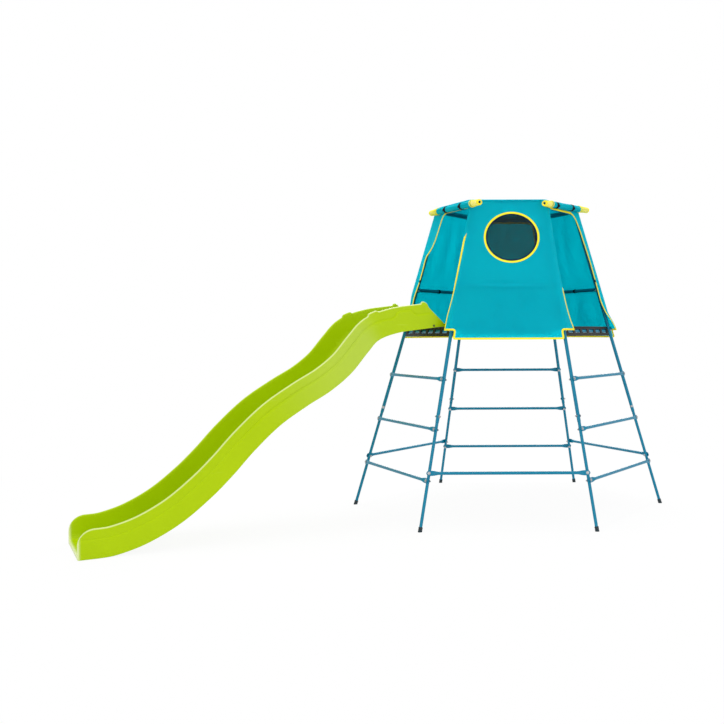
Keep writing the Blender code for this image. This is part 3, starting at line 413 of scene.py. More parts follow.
def loft(rings, closed_path=False):
    """A closed skin over rings of the same count, with a UV map in metres. A closed path joins its two ends."""
    work = bmesh.new()
    layer = work.loops.layers.uv.new("UVMap")
    skins = [[work.verts.new(point) for point in ring] for ring in rings]
    count, total = len(rings[0]), len(rings)
    girth = running_lengths([*rings[0], rings[0][0]])
    reach = running_lengths([ring[0] for ring in (*rings, rings[0])])
    for r in range(total if closed_path else total - 1):
        one, two = skins[r], skins[(r + 1) % total]
        for i in range(count):
            j = (i + 1) % count
            face = work.faces.new((one[i], one[j], two[j], two[i]))
            for loop, (x, y) in zip(face.loops, ((i, r), (i + 1, r), (i + 1, r + 1), (i, r + 1))):
                loop[layer].uv = girth[x], reach[y]
    if not closed_path:
        for ring in (skins[0], skins[-1]):
            for loop in work.faces.new(ring).loops:
                loop[layer].uv = (loop.vert.co.x, loop.vert.co.y)
    bmesh.ops.recalc_face_normals(work, faces=work.faces)
    return as_mesh(work, "loft")


def turned(outline, sides, closed=True):
    """A body turned round Z from an outline of (height, radius)."""
    spins = [2 * math.pi * i / sides for i in range(sides)]
    return loft([[Vector((max(radius, 1e-5) * math.cos(spin), max(radius, 1e-5) * math.sin(spin), height))
                  for spin in spins] for height, radius in outline], closed_path=not closed)


# %% [markdown]
# ## Legs and feet
# Each leg is two tubes, one pushed into the other, standing in a moulded rubber foot. A turned outline gives
# the tube its rolled lip and the foot its ribs. The six are the same, so one shape is turned into place six
# times.

# %% Legs and feet
TUBE_WALL, TUBE_LIP, TURNED_SIDES = 0.0012, 0.0004, 32
CAP_WALL, CAP_TOP, CAP_FLOOR, RIB_DEPTH = 0.0028, 0.028, 0.020, 0.0012
LEG_FOOT, POLE_LAP, LEG_LAP = 0.0093, 0.035, 0.075


def leg_transform(leg, lean=LEG_LEAN):
    """The place of a leg's foot. Z then runs up the leg."""
    spin = Matrix.Rotation(leg * TURN, 4, "Z")
    return spin @ Matrix.Translation((FOOT_CIRCLE, 0, 0)) @ Matrix.Rotation(-lean, 4, "Y")


def up_leg(height):
    """The length along a leg that reaches a height."""
    return height / math.cos(LEG_LEAN)


def tube(start, end, radius):
    """A tube with its ends rolled in a little."""
    bore = radius - TUBE_WALL
    return turned([(start, bore), (start, radius - TUBE_LIP), (start + TUBE_LIP, radius), (end - TUBE_LIP, radius),
                   (end, radius - TUBE_LIP), (end, bore)], TURNED_SIDES, False)


def foot_cap():
    """A rubber cap with ribs, cut level where it stands on the ground."""
    hole = LEG_RADIUS + GAP
    outer = hole + CAP_WALL
    valley = outer - RIB_DEPTH
    outline = [(-0.01, 0.0), (-0.01, outer), (0.006, outer), (0.0075, valley), (0.010, valley), (0.0115, outer),
               (0.0150, outer), (0.0165, valley), (0.019, valley), (0.0205, outer), (0.0265, outer),
               (CAP_TOP, valley), (CAP_TOP, hole), (CAP_FLOOR, hole), (CAP_FLOOR, 0.0)]
    work = bmesh.new()
    made = turned(outline, TURNED_SIDES)
    work.from_mesh(made)
    bpy.data.meshes.remove(made)
    bmesh.ops.remove_doubles(work, verts=work.verts, dist=1e-4)
    work.transform(Matrix.Rotation(-LEG_LEAN, 4, "Y"))
    everything = work.verts[:] + work.edges[:] + work.faces[:]
    cut = bmesh.ops.bisect_plane(work, geom=everything, plane_co=(0, 0, 0), plane_no=(0, 0, -1), clear_outer=True)
    rim = [edge for edge in cut["geom_cut"] if isinstance(edge, bmesh.types.BMEdge)]
    bmesh.ops.contextual_create(work, geom=rim)
    bmesh.ops.recalc_face_normals(work, faces=work.faces)
    return as_mesh(work, "foot_cap")


joint = up_leg(JOINT_HEIGHT)
for name, node, shape, lean, finish, slot in (
        ("upper_poles", "upper_pole_", lambda: tube(joint - POLE_LAP, up_leg(POLE_TOP), POLE_RADIUS), LEG_LEAN,
         FRAME_PAINT, "frame_paint"),
        ("lower_legs", "lower_leg_", lambda: tube(LEG_FOOT, joint + LEG_LAP, LEG_RADIUS), LEG_LEAN,
         FRAME_PAINT, "frame_paint"),
        ("foot_caps", "foot_cap_", foot_cap, 0.0, FOOT_RUBBER, "foot_rubber")):
    meshes = [moved(shape(), leg_transform(leg, lean)) for leg in range(6)]
    keep_piece(name, joined(meshes), finish, stands_for=[node + leg for leg in LEG_NAMES])
print("legs done")

# %% [markdown]
# ## Rungs and rails
# Every bar is a round tube whose ends were pressed flat in a die and drilled. The shape follows a rule along
# the tube, so a Geometry Nodes tree makes it: it takes a cylinder, gathers its rings where the tube changes,
# and flattens them by how near they are to the end.

# %% Helpers for Geometry Nodes trees
start_tree = partial(start_group, kind="GeometryNodeTree", output="Geometry", Geometry="Geometry")


def end_tree(tree, shape, given, result):
    """Ends a tree: real geometry with its material."""
    real = add_node(tree, "GeometryNodeRealizeInstances", {"Geometry": shape})
    done = add_node(tree, "GeometryNodeSetMaterial", {"Geometry": real, "Material": given["Material"]})
    tree.links.new(done.outputs[0], result)
    tree.is_modifier = True
    return tree


def grown(tree, carrier=None, **values):
    """What a Geometry Nodes tree makes of a carrier mesh, as a plain mesh. An underscore stands for a space."""
    mesh = carrier or bpy.data.meshes.new("carrier")
    host = bpy.data.objects.new("host", mesh)
    scene.collection.objects.link(host)
    modifier = host.modifiers.new("nodes", "NODES")
    modifier.node_group = tree
    for item in tree.interface.items_tree:
        key = item.name.replace(" ", "_")
        if item.in_out == "INPUT" and key in values:
            modifier[item.identifier] = values[key]
    graph = bpy.context.evaluated_depsgraph_get()
    made = bpy.data.meshes.new_from_object(host.evaluated_get(graph), preserve_all_data_layers=True,
                                           depsgraph=graph)
    host.modifiers.remove(modifier)
    bpy.data.objects.remove(host)
    bpy.data.meshes.remove(mesh)
    return made


# %% The tree for a tube with pressed ends
def make_pressed_tube():
    """A round tube along Z whose ends turn flat over a taper."""
    tree, g, result = start_tree(
        "pressed_tube", Length=1.0, Radius=0.01, Tab_Length=TAB_LENGTH, Tab_Taper=TAB_TAPER,
        Tab_Half_Width=TAB_HALF_WIDTH, Tab_Thickness=TAB_THICKNESS, Material="Material")
    m = partial(sum_of, tree)
    cylinder = add_node(tree, "GeometryNodeMeshCylinder", {
        "Vertices": 24, "Side Segments": 60, "Radius": 1.0, "Depth": 2.0}, fill_type="NGON")
    spot = add_node(tree, "ShaderNodeSeparateXYZ", {0: add_node(tree, "GeometryNodeInputPosition")}).outputs
    half = m("MULTIPLY", g["Length"], 0.5)
    pressed = m("ADD", g["Tab Length"], g["Tab Taper"])
    zone = m("ADD", pressed, 0.004)
    middle = m("SUBTRACT", half, zone)
    away = m("ABSOLUTE", spot[2])
    inner = m("MULTIPLY", m("MINIMUM", away, 0.1), 10.0)
    outer = m("DIVIDE", m("MAXIMUM", m("SUBTRACT", away, 0.1), 0.0), 0.9)
    reach = m("MULTIPLY_ADD", outer, zone, m("MULTIPLY", inner, middle))
    to_end = m("SUBTRACT", half, reach)
    press = m("DIVIDE", m("SUBTRACT", pressed, to_end), g["Tab Taper"], clamp=True)
    flat = m("MULTIPLY", m("MULTIPLY", press, press), m("SUBTRACT", 3.0, m("MULTIPLY", press, 2.0)))
    rounding = m("SUBTRACT", 1.0, m("DIVIDE", to_end, g["Tab Half Width"]), clamp=True)
    end_round = m("MAXIMUM", m("SQRT", m("SUBTRACT", 1.0, m("MULTIPLY", rounding, rounding), clamp=True)), 0.12)

    def between(first, second):
        return m("MULTIPLY_ADD", m("SUBTRACT", second, first), flat, first)

    width = m("MULTIPLY", between(g["Radius"], g["Tab Half Width"]), end_round)
    depth = between(g["Radius"], m("MULTIPLY", g["Tab Thickness"], 0.5))
    boxy = m("MULTIPLY_ADD", flat, -0.65, 1.0)
    deep = m("MULTIPLY", m("SIGN", spot[1]), m("POWER", m("ABSOLUTE", spot[1]), boxy))
    placed = add_node(tree, "ShaderNodeCombineXYZ", {
        0: m("MULTIPLY", spot[0], width), 1: m("MULTIPLY", deep, depth), 2: m("MULTIPLY", m("SIGN", spot[2]), reach)})
    shape = add_node(tree, "GeometryNodeSetPosition", {"Geometry": cylinder, "Position": placed})
    return end_tree(tree, shape, g, result)


PRESSED_TUBE = make_pressed_tube()

# %% [markdown]
# The 27 bars are the same tube at five sorts of place. A bar's long axis lies along its face and its tab is
# square to the face, so one matrix per bar puts it where its solid is. Bars of one kind are one piece.

# %% Put the bars in place
BARS, BOLTS = {}, []


def bar_place(face, height, lift):
    """The place of a bar on a face, lift outside the legs' middles."""
    _, along, normal = face_frame(face)
    axes = Matrix((-along.cross(normal), normal, along)).transposed().to_4x4()
    return Matrix.Translation(level_point(face, 0, height, lift)) @ axes


def bars(kind, name, faces, height, lift, radius):
    """Adds bars of one kind, with the places of their bolts."""
    meshes, nodes = BARS.setdefault(kind, ([], []))
    for face in faces:
        length = leg_radius_at(height) + 2 * TAB_OVERHANG
        mesh = grown(PRESSED_TUBE, Length=length, Radius=radius, Material=FRAME_PAINT)
        meshes.append(moved(mesh, bar_place(face, height, lift)))
        nodes.append(f"{name}_{FACE_NAMES[face]}")
        for side in (-1, 1):
            BOLTS.append((level_point(face, side * leg_radius_at(height) / 2, height, lift), face, lift))


for step, height in enumerate(RUNG_HEIGHTS, start=1):
    lift = LOW_OFFSET if height < JOINT_HEIGHT - POLE_LAP else RAIL_OFFSET
    bars("rungs", f"rung_{step}", LADDER_FACES, height, lift, RUNG_RADIUS)
bars("low_bars", "low_bar", SINGLE_FACES, LOW_BAR_HEIGHT, LOW_OFFSET, RUNG_RADIUS)
bars("guard_rails", "guard_rail", SINGLE_FACES, GUARD_RAIL_HEIGHT, RAIL_OFFSET, RAIL_RADIUS)
for name, height in (("deck_bar", DECK_BAR_HEIGHT), ("top_bar", TOP_BAR_HEIGHT)):
    bars(f"{name}s", name, SINGLE_FACES, height, RAIL_OFFSET, RAIL_RADIUS)
    bars(f"{name}s", name, LADDER_FACES, height - BOLT_STAGGER, -RAIL_OFFSET, RAIL_RADIUS)
for kind, (meshes, nodes) in BARS.items():
    made = keep_piece(kind, joined(meshes), FRAME_PAINT, stands_for=nodes, angle=50)
    print(kind, len(nodes), "bars,", len(made.data.polygons), "faces")

# %% [markdown]
# ## Bolts
# Each bar end is held by a bolt through the leg: a hex head on a washer outside, and a nut inside. They
# repeat, so Geometry Nodes set one head on every marked point, turned to face out of the tower.

# %% The tree that sets a fastener on every point
def make_fasteners():
    """A washer, a six-sided head and a shank's end on every point, square to its surface."""
    tree, g, result = start_tree(
        "fasteners", Head_Radius=0.006, Head_Height=0.004, Washer_Radius=0.009, Washer_Height=0.0014,
        Shank_Radius=0.003, Shank_Length=0.002, Material="Material")
    m = partial(sum_of, tree)

    def lifted(mesh, height):
        up = add_node(tree, "ShaderNodeCombineXYZ", {2: height})
        return add_node(tree, "GeometryNodeTransform", {"Geometry": mesh, "Translation": up}).outputs[0]

    def drum(sides, part, depth):
        return add_node(tree, "GeometryNodeMeshCylinder", {
            "Vertices": sides, "Radius": g[f"{part} Radius"], "Depth": g[f"{part} {depth}"]})

    crown = add_node(tree, "GeometryNodeMeshCone", {
        "Vertices": 12, "Radius Bottom": m("MULTIPLY", g["Head Radius"], 0.84),
        "Radius Top": m("MULTIPLY", g["Head Radius"], 0.6), "Depth": 0.0008})
    top = m("ADD", g["Washer Height"], g["Head Height"])
    whole = add_node(tree, "GeometryNodeJoinGeometry")
    for mesh, height in (
            (drum(20, "Washer", "Height"), m("MULTIPLY", g["Washer Height"], 0.5)),
            (drum(6, "Head", "Height"), m("ADD", g["Washer Height"], m("MULTIPLY", g["Head Height"], 0.5))),
            (crown, top), (drum(10, "Shank", "Length"), m("ADD", top, m("MULTIPLY", g["Shank Length"], 0.5)))):
        tree.links.new(lifted(mesh, height), whole.inputs[0])
    facing = add_node(tree, "GeometryNodeInputNamedAttribute", {"Name": "facing"}, data_type="FLOAT_VECTOR")
    turn = add_node(tree, "FunctionNodeAlignRotationToVector", {"Vector": facing}, axis="Z")
    spread = add_node(tree, "GeometryNodeInstanceOnPoints", {
        "Points": g["Geometry"], "Instance": whole, "Rotation": turn})
    return end_tree(tree, spread, g, result)


def carrier_of(spots, edges=()):
    """A mesh of points, each given with the direction that it faces."""
    mesh = bpy.data.meshes.new("spots")
    mesh.from_pydata([tuple(spot) for spot, _ in spots], edges, [])
    facing = mesh.attributes.new("facing", "FLOAT_VECTOR", "POINT")
    facing.data.foreach_set("vector", [value for _, toward in spots for value in toward])
    return mesh


heads, nuts = [], []
for spot, face, lift in BOLTS:
    normal, tab = face_frame(face)[2], TAB_THICKNESS / 2
    outside, inside_leg = (tab, tab - 2 * lift) if lift > 0 else (-2 * lift - tab, -tab)
    heads.append((spot + normal * outside, normal))
    nuts.append((spot + normal * inside_leg, -normal))
for leg in range(6):
    across = Matrix.Rotation(leg * TURN, 3, "Z") @ Vector((0, 1, 0))
    middle = leg_transform(leg) @ Vector((0, 0, joint))
    heads.append((middle + across * POLE_RADIUS, across))
    nuts.append((middle - across * POLE_RADIUS, -across))
FASTENERS = make_fasteners()
bolt_mesh = grown(FASTENERS, carrier_of(heads), Head_Radius=0.0068, Head_Height=0.0042, Washer_Radius=0.0098,
                  Shank_Length=0.0006, Material=ZINC)
nut_mesh = grown(FASTENERS, carrier_of(nuts), Head_Radius=0.0060, Head_Height=0.0046, Washer_Radius=0.0078,
                 Shank_Length=0.0040, Material=ZINC)
keep_piece("bolts_and_nuts", joined([bolt_mesh, nut_mesh]), ZINC, angle=30)
print(len(heads), "bolts and", len(nuts), "nuts")

# %% [markdown]
# ## Where the den's cover runs
# The cover wraps the six-sided frame just outside its rails, with rounded corners. A point of it has two
# numbers: how far round it lies from the middle of a face, and how high. One formula turns these into a
# place, so every panel, hem and tape that is drawn flat lands on the same surface.

# %% The cover's surface
CORNER_RADIUS = 0.030
CORNER_ARC = CORNER_RADIUS * TURN
TAN_HALF = math.tan(TURN / 2)
SKIN, COVER_LIFT = 0.0012, 0.0024
CLOTH_TOP, DOOR_TOP = DEN_TOP - CLOTH - GAP, DEN_TOP - 0.056
NOTCH_HEIGHT, HEM_HEIGHT, SIDE_HEM = 1.177, 1.122, 1.128
FOLD_DEPTH, FOLD_WAVE, CREASE_OUT, CREASE_IN, CREASE_HALF = 0.007, 0.0035, 0.0045, 0.0035, 0.010
CREASE_ABOVE, CREASE_BELOW, PULLED, WRINKLED = 0.018, 0.004, 0.0075, 0.0022
# The side walls' lower front corners: how far out they stand, and the heights and widths over which that grows.
CORNER_SWINGS = {
    LEFT_FACE: (-0.010, (1.43, 1.33), (0.22, 0.29), 1),
    RIGHT_FACE: (0.026, (1.31, 1.19), (0.20, 0.34), -1),
}


def flat_half(height):
    """Half a face's flat width between the rounded corners."""
    return (face_distance(height) + COVER_OFFSET / FACE_LEAN_COS - CORNER_RADIUS) * TAN_HALF


FLAT = flat_half(1.55)
EDGE = FLAT + CORNER_ARC
print("half a face's flat width at 1.55 m:", round(FLAT, 4))


def cover(face, u, height, lift=COVER_LIFT):
    """The cover's point u round from the middle of a face, where u is in metres at a height of 1.55 m."""
    out_way, along, _ = face_frame(face)
    radius = CORNER_RADIUS + lift
    distance = face_distance(height) + (COVER_OFFSET + lift) / FACE_LEAN_COS
    flat = (distance - radius) * TAN_HALF
    reach, side = abs(u), math.copysign(1.0, u)
    if reach <= FLAT:
        out, x = distance, flat * reach / FLAT
    else:
        turn = min((reach - FLAT) / CORNER_RADIUS, TURN)
        past = max(reach - EDGE, 0.0)
        out = distance - radius * (1 - math.cos(turn)) - past * math.sin(TURN)
        x = flat + radius * math.sin(turn) + past * math.cos(TURN)
    return out_way * out + along * (x * side) + Vector((0, 0, height))


def swing(face, u, height):
    """How far the cloth leaves its plane: drawn in between the rails, pressed out over them, and creased."""
    middle = 1 - min(abs(u) / FLAT, 1.0) ** 2
    above = height - GUARD_RAIL_HEIGHT
    span = above / (DEN_TOP - GUARD_RAIL_HEIGHT) if above > 0 else -above / (GUARD_RAIL_HEIGHT - NOTCH_HEIGHT)
    drawn = math.sin(math.pi * min(span, 1.0)) ** 2
    out = (math.cos(3 * math.pi * u / FLAT) * FOLD_WAVE - FOLD_DEPTH) * middle * drawn
    out += CREASE_OUT * math.exp(-((above + CREASE_BELOW) / CREASE_HALF) ** 2) * middle
    out -= CREASE_IN * math.exp(-((above - CREASE_ABOVE) / CREASE_HALF) ** 2) * middle
    if face in CORNER_SWINGS:
        depth, heights, widths, side = CORNER_SWINGS[face]
        out += depth * smooth(*heights, height) * smooth(*widths, side * u)
    pulled = noise.noise(Vector((u * 9 + face, (height + u * 0.4) * 4, 3.7 * face)))
    fine = noise.noise(Vector((u * 26 - height * 12, height * 9 + u * 7, 1.3 * face + 5)))
    return out + (PULLED * pulled + WRINKLED * fine) * middle * (0.35 + 0.65 * drawn)


def wall_point(face, u, height, extra=0.0):
    """A point of a wall's cloth, or of what lies extra outside it."""
    return cover(face, u, height, COVER_LIFT + swing(face, u, height) + extra)


# %% [markdown]
# ## Panels cut from flat cloth
# A panel is drawn as an outline with holes, as a sewing pattern is. Blender's constrained Delaunay call fills
# it with even triangles, which are then laid on the cover. Solidify gives the cloth its thickness.

# %% Helpers for outlines
STEP, EDGE_ROOM, ROW_STEP = 0.012, 0.004, 0.0095
TAPE_SECTION = ((-1, -0.5), (-0.8, -1), (0.8, -1), (1, -0.5), (1, 0.5), (0.8, 1), (0.0, 1.06), (-0.8, 1), (-1, 0.5))
BINDING_WIDTH, BINDING_THICKNESS, BINDING_OVERHANG, SEAM_PLACE = 0.0115, 0.0028, 0.0012, 0.62
STITCH_LINES = {"tower": [], "back_flap": []}


def rounded(points, radii, steps=5):
    """A closed outline with its corners rounded by these radii."""
    path, count = [], len(points)
    for i, (point, radius) in enumerate(zip(points, radii)):
        here = np.array(point)
        if not radius:
            path.append(tuple(here))
            continue
        start, end = (here + way / np.linalg.norm(way) * min(radius, np.linalg.norm(way) / 2)
                      for way in (np.array(points[i - 1]) - here, np.array(points[(i + 1) % count]) - here))
        for step in range(steps + 1):
            t = step / steps
            path.append(tuple((1 - t) ** 2 * start + 2 * t * (1 - t) * here + t * t * end))
    return path


def sampled(points, step=STEP):
    """A line of points with more put in, so that none are further apart than step."""
    path = [tuple(points[0])]
    for one, two in zip(points, points[1:]):
        count = max(1, math.ceil(math.dist(one, two) / step))
        path += [tuple(np.array(one) + (np.array(two) - np.array(one)) * i / count) for i in range(1, count + 1)]
    return path


def inside(points, loop):
    """Which points lie within a closed outline, and how near they are to it."""
    px, py = points[:, 0:1], points[:, 1:2]
    a, b = np.array(loop), np.roll(np.array(loop), -1, axis=0)
    ax, ay, bx, by = a[:, 0], a[:, 1], b[:, 0], b[:, 1]
    with np.errstate(divide="ignore", invalid="ignore"):
        crossing = ((ay > py) != (by > py)) & (px < (bx - ax) * (py - ay) / (by - ay) + ax)
    length = np.maximum((bx - ax) ** 2 + (by - ay) ** 2, 1e-12)
    t = np.clip(((px - ax) * (bx - ax) + (py - ay) * (by - ay)) / length, 0, 1)
    near = np.hypot(px - ax - t * (bx - ax), py - ay - t * (by - ay)).min(axis=1)
    return crossing.sum(axis=1) % 2 == 1, near


# %% Helpers that make a panel and a tape
def panel_mesh(place, outline, holes, columns, rows):
    """A sheet of triangles within an outline, laid out by place(u, height) and facing out of the tower."""
    lattice = np.array([(u, h) for h in rows for u in columns])
    within, near = inside(lattice, outline)
    keep = within & (near > EDGE_ROOM)
    for hole in holes:
        in_hole, near = inside(lattice, hole)
        keep &= ~in_hole & (near > EDGE_ROOM)
    points, edges = [tuple(p) for p in lattice[keep]], []
    for loop in [outline, *holes]:
        start = len(points)
        points += [tuple(p) for p in loop]
        edges += [(start + i, start + (i + 1) % len(loop)) for i in range(len(loop))]
    made = geometry.delaunay_2d_cdt([Vector(p) for p in points], edges, [], 0, 1e-7)
    spots, faces = np.array([tuple(v) for v in made[0]]), made[2]
    middles = np.array([spots[list(face)].mean(axis=0) for face in faces])
    kept, _ = inside(middles, outline)
    for hole in holes:
        kept &= ~inside(middles, hole)[0]
    work = bmesh.new()
    layer = work.loops.layers.uv.new("UVMap")
    verts = [work.verts.new(place(*spot)) for spot in spots]
    for face, wanted in zip(faces, kept):
        if wanted:
            for loop, index in zip(work.faces.new([verts[i] for i in face]).loops, face):
                loop[layer].uv = spots[index]
    bmesh.ops.delete(work, geom=[v for v in work.verts if not v.link_faces], context="VERTS")
    mesh = as_mesh(work, "panel")
    if sum(p.center.to_2d().dot(p.normal.to_2d()) * p.area for p in mesh.polygons) < 0:
        mesh.flip_normals()
    return mesh


def cloth_piece(name, mesh, stands_for=(), body="tower", thickness=SKIN, offset=-1.0):
    """A sheet of the den's cloth as a piece, given its thickness, and the area of its one side."""
    piece = keep_piece(name, mesh, TEAL_CLOTH, body, stands_for)
    modifier = piece.modifiers.new("thickness", "SOLIDIFY")
    modifier.thickness, modifier.offset, modifier.use_even_offset = thickness, offset, False
    return piece, sum(p.area for p in mesh.polygons)


def tape(place, path, width=BINDING_WIDTH, thickness=BINDING_THICKNESS, closed=False, body="tower", inward=-1,
         stitched=True, overhang=BINDING_OVERHANG):
    """A binding folded over an edge. path is the edge as (u, height); place lays it on the cloth."""
    count, rings, stitches = len(path), [], []
    half, deep = width / 2, thickness / 2
    for i, (u, height) in enumerate(path):
        before = path[(i - 1) % count] if closed else path[max(i - 1, 0)]
        after = path[(i + 1) % count] if closed else path[min(i + 1, count - 1)]
        du, dh = after[0] - before[0], after[1] - before[1]
        size = math.hypot(du, dh) or 1.0
        du, dh = du / size * 1e-3, dh / size * 1e-3
        spot = place(u, height)
        ahead = (place(u + du, height + dh) - place(u - du, height - dh)).normalized()
        across = place(u - dh * inward, height + du * inward) - spot
        across = (across - ahead * across.dot(ahead)).normalized()
        normal = ahead.cross(across)
        if normal.dot(Vector((spot.x, spot.y, 0.25))) < 0:
            normal = -normal
        centre = spot + across * (half - overhang) - normal * (SKIN / 2)
        rings.append([centre + across * (half * a) + normal * (deep * d) for a, d in TAPE_SECTION])
        stitches.append((centre + across * (half * SEAM_PLACE) + normal * (deep * 1.02), normal))
    if stitched:
        STITCH_LINES[body].append((stitches, closed))
    return loft(rings, closed_path=closed)


# %% [markdown]
# ## The three walls
# The front wall has a round window and narrow strips that turn round its corners on to the doorways, and
# they flare out towards the deck. The side walls have wider strips. Each wall's lower corners are notched
# where the legs and the deck come through, and its hem hangs below the deck.

# %% Outlines of the walls
WINDOW_HEIGHT, WINDOW_RADIUS, WINDOW_SHIFT, WINDOW_SQUEEZE = 1.757, 0.1625, 0.0275, 0.962
HEM_REACHES = {FRONT_FACE: (0.333, 0.345), LEFT_FACE: (0.334, 0.334), RIGHT_FACE: (0.334, 0.334)}
CORNER_ROUNDS = (0, 0.006, 0.010, 0.012, 0.012, 0.010, 0.006, 0)
# Each wall's strip on a doorway's face: the rounding at the doorway's top, then (height, width) stops upwards.
STRIPS = {
    "front_left": (0.012, (1.177, 0.042), (1.19, 0.040), (1.27, 0.032), (1.32, 0.018), (1.37, 0.006), (1.42, -0.001),
                   (1.49, -0.006), (1.60, -0.012), (1.72, -0.017), (1.90, -0.020), (1.944, -0.018)),
    "front_right": (0.020, (1.177, 0.092), (1.20, 0.079), (1.24, 0.060), (1.30, 0.042), (1.36, 0.031), (1.42, 0.025),
                    (1.49, 0.020), (1.55, 0.016), (1.68, 0.014), (1.78, 0.015), (1.90, 0.019), (1.944, 0.022)),
    "left": (0.030, (1.177, 0.040), (1.30, 0.038), (1.38, 0.044), (1.42, 0.054), (1.50, 0.066), (1.58, 0.064),
             (1.64, 0.058), (1.67, 0.062), (1.70, 0.092), (1.725, 0.112), (1.77, 0.128), (1.85, 0.134),
             (1.90, 0.137), (1.944, 0.146)),
    "right": (0.030, (1.177, 0.010), (1.25, 0.014), (1.30, 0.036), (1.34, 0.054), (1.38, 0.062), (1.44, 0.057),
              (1.51, 0.051), (1.63, 0.047), (1.73, 0.053), (1.84, 0.062), (1.90, 0.076), (1.944, 0.098)),
    "back": (0.030, (1.177, 0.048)),
}


def strip(name, height):
    """A strip's width at a height. It grows into the doorway's rounded top corner."""
    radius, *stops = STRIPS[name]
    rise = min(max(height - (DOOR_TOP - radius), 0.0), radius)
    fillet = radius - math.sqrt(max(radius * radius - rise * rise, 0.0))
    return float(np.interp(height, *zip(*stops))) + fillet


def wall_outline(face, low_strip, high_strip):
    """The wall's outline, and the part of it from one doorway's top corner round the hem to the other's."""
    def side(name, sign):
        return [(sign * (EDGE + strip(name, h)), h) for h in np.arange(DOOR_TOP, NOTCH_HEIGHT + 0.010, -0.008)]

    hem = HEM_HEIGHT if face == FRONT_FACE else SIDE_HEM
    right, left = side(high_strip, 1), side(low_strip, -1)
    low_hem, high_hem = (FLAT * reach / flat_half(HEM_HEIGHT) for reach in HEM_REACHES[face])
    foot = [(EDGE + strip(high_strip, NOTCH_HEIGHT), NOTCH_HEIGHT), (high_hem, NOTCH_HEIGHT + 0.001),
            (high_hem, hem), (-low_hem, hem), (-low_hem, NOTCH_HEIGHT + 0.001),
            (-(EDGE + strip(low_strip, NOTCH_HEIGHT)), NOTCH_HEIGHT)]
    ring = rounded([right[-1], *foot, left[-1]], CORNER_ROUNDS)
    bound = sampled(right[:-1] + ring + left[-2::-1])
    return bound + over_top(left[0][0], right[0][0]), bound


def over_top(low, high):
    """The outline's way from low up over the cloth's top edge and down to high, without its two ends."""
    return sampled([(low, DOOR_TOP), (low, CLOTH_TOP), (high, CLOTH_TOP), (high, DOOR_TOP)])[1:-1]


def window_ring(radius, count=96):
    """The window's edge on the front wall as (u, height): a circle that the taut cloth makes a little low."""
    ring = []
    for i in range(count):
        spin = 2 * math.pi * i / count
        height = WINDOW_HEIGHT + radius * math.sin(spin) * FACE_LEAN_COS * WINDOW_SQUEEZE
        ring.append(((WINDOW_SHIFT + radius * math.cos(spin)) / flat_half(height) * FLAT, height))
    return ring


beyond = [FLAT + CORNER_ARC * share for share in (0.2, 0.4, 0.6, 0.8, 1.0)]
beyond += [EDGE + d for d in np.arange(0.010, 0.115, 0.010)]
COLUMNS = [-u for u in reversed(beyond)] + list(np.linspace(-FLAT, FLAT, 61)) + beyond


# %% [markdown]
# The front wall's binding shows on its edges only up to where the cloth starts to curl round the poles; above
# that it is tucked behind the cloth, lower on the right than on the left.

# %% Sew the walls
TUCK_RIGHT, TUCK_LEFT, TUCK_IN, TUCK_DEPTH = (1.40, 1.56), (1.72, 1.88), 0.011, 0.006
STRAP_END_HEIGHTS, STRAP_END_WIDTH, STRAP_END_THICKNESS = (1.497, 1.505, 1.513), 0.014, 0.006
WINDOW_BINDING_WIDTH = 0.0125
NET_TAPE_WIDTH, NET_TAPE_THICKNESS, NET_TAPE_IN, NET_TAPE_BEHIND = 0.0105, 0.002, 0.0085, 0.0016


def tucked_point(face, u, height):
    """Where a wall's binding runs."""
    tuck = smooth(*(TUCK_RIGHT if u > 0 else TUCK_LEFT), height) if face == FRONT_FACE else 0.0
    drawn_in = u - math.copysign(TUCK_IN * tuck, u)
    return cover(face, drawn_in, height, COVER_LIFT + swing(face, u, height) - TUCK_DEPTH * tuck)


for face, node, low_strip, high_strip in (
        (FRONT_FACE, "den_front", "front_left", "front_right"), (LEFT_FACE, "den_left", "back", "left"),
        (RIGHT_FACE, "den_right", "right", "back")):
    outline, bound = wall_outline(face, low_strip, high_strip)
    holes = [window_ring(WINDOW_RADIUS)] if face == FRONT_FACE else []
    mesh = panel_mesh(partial(wall_point, face), outline, holes, COLUMNS, np.arange(SIDE_HEM, CLOTH_TOP, ROW_STEP))
    wall, area = cloth_piece(f"{node}_cloth", mesh, [node])
    trims = [keep_piece(f"{node}_binding", tape(partial(tucked_point, face), bound), YELLOW_BINDING)]
    if face == FRONT_FACE:
        ring = tape(partial(wall_point, face), window_ring(WINDOW_RADIUS), width=WINDOW_BINDING_WIDTH,
                    closed=True)
        trims.append(keep_piece("window_binding", ring, YELLOW_BINDING))
        # A tape round the net, just inside the window's binding. Its dark navy colour is painted shadow, the shadow
        # line there.
        ring = tape(partial(wall_point, face, extra=-NET_TAPE_BEHIND), window_ring(WINDOW_RADIUS - NET_TAPE_IN),
                    width=NET_TAPE_WIDTH, thickness=NET_TAPE_THICKNESS, closed=True, stitched=False)
        trims.append(keep_piece("window_net_tape", ring, NAVY_SHADOW_TAPE))
    else:
        sign, name = (1, high_strip) if face == LEFT_FACE else (-1, low_strip)
        tip = tape(partial(wall_point, face), [(sign * (EDGE + strip(name, h)), h) for h in STRAP_END_HEIGHTS],
                   width=STRAP_END_WIDTH, thickness=STRAP_END_THICKNESS, inward=-sign, stitched=False,
                   overhang=0.005)
        trims.append(keep_piece(f"{node}_strap_end", tip, BLACK_WEBBING))
    print(node, len(mesh.polygons), "triangles, flat area", round(area, 3))

# %% [markdown]
# ## The net in the round window
# The window is closed by an open net. It is made of real strands: Geometry Nodes lay straight lines a pitch
# apart in two directions, trim them to a circle and give each a thin section. Its points are then laid on
# the wall, a little behind the cloth.

# %% The tree for a round of net
NET_POINTS, NET_LAYER, NET_BEHIND = 34, 0.0004, 0.0022


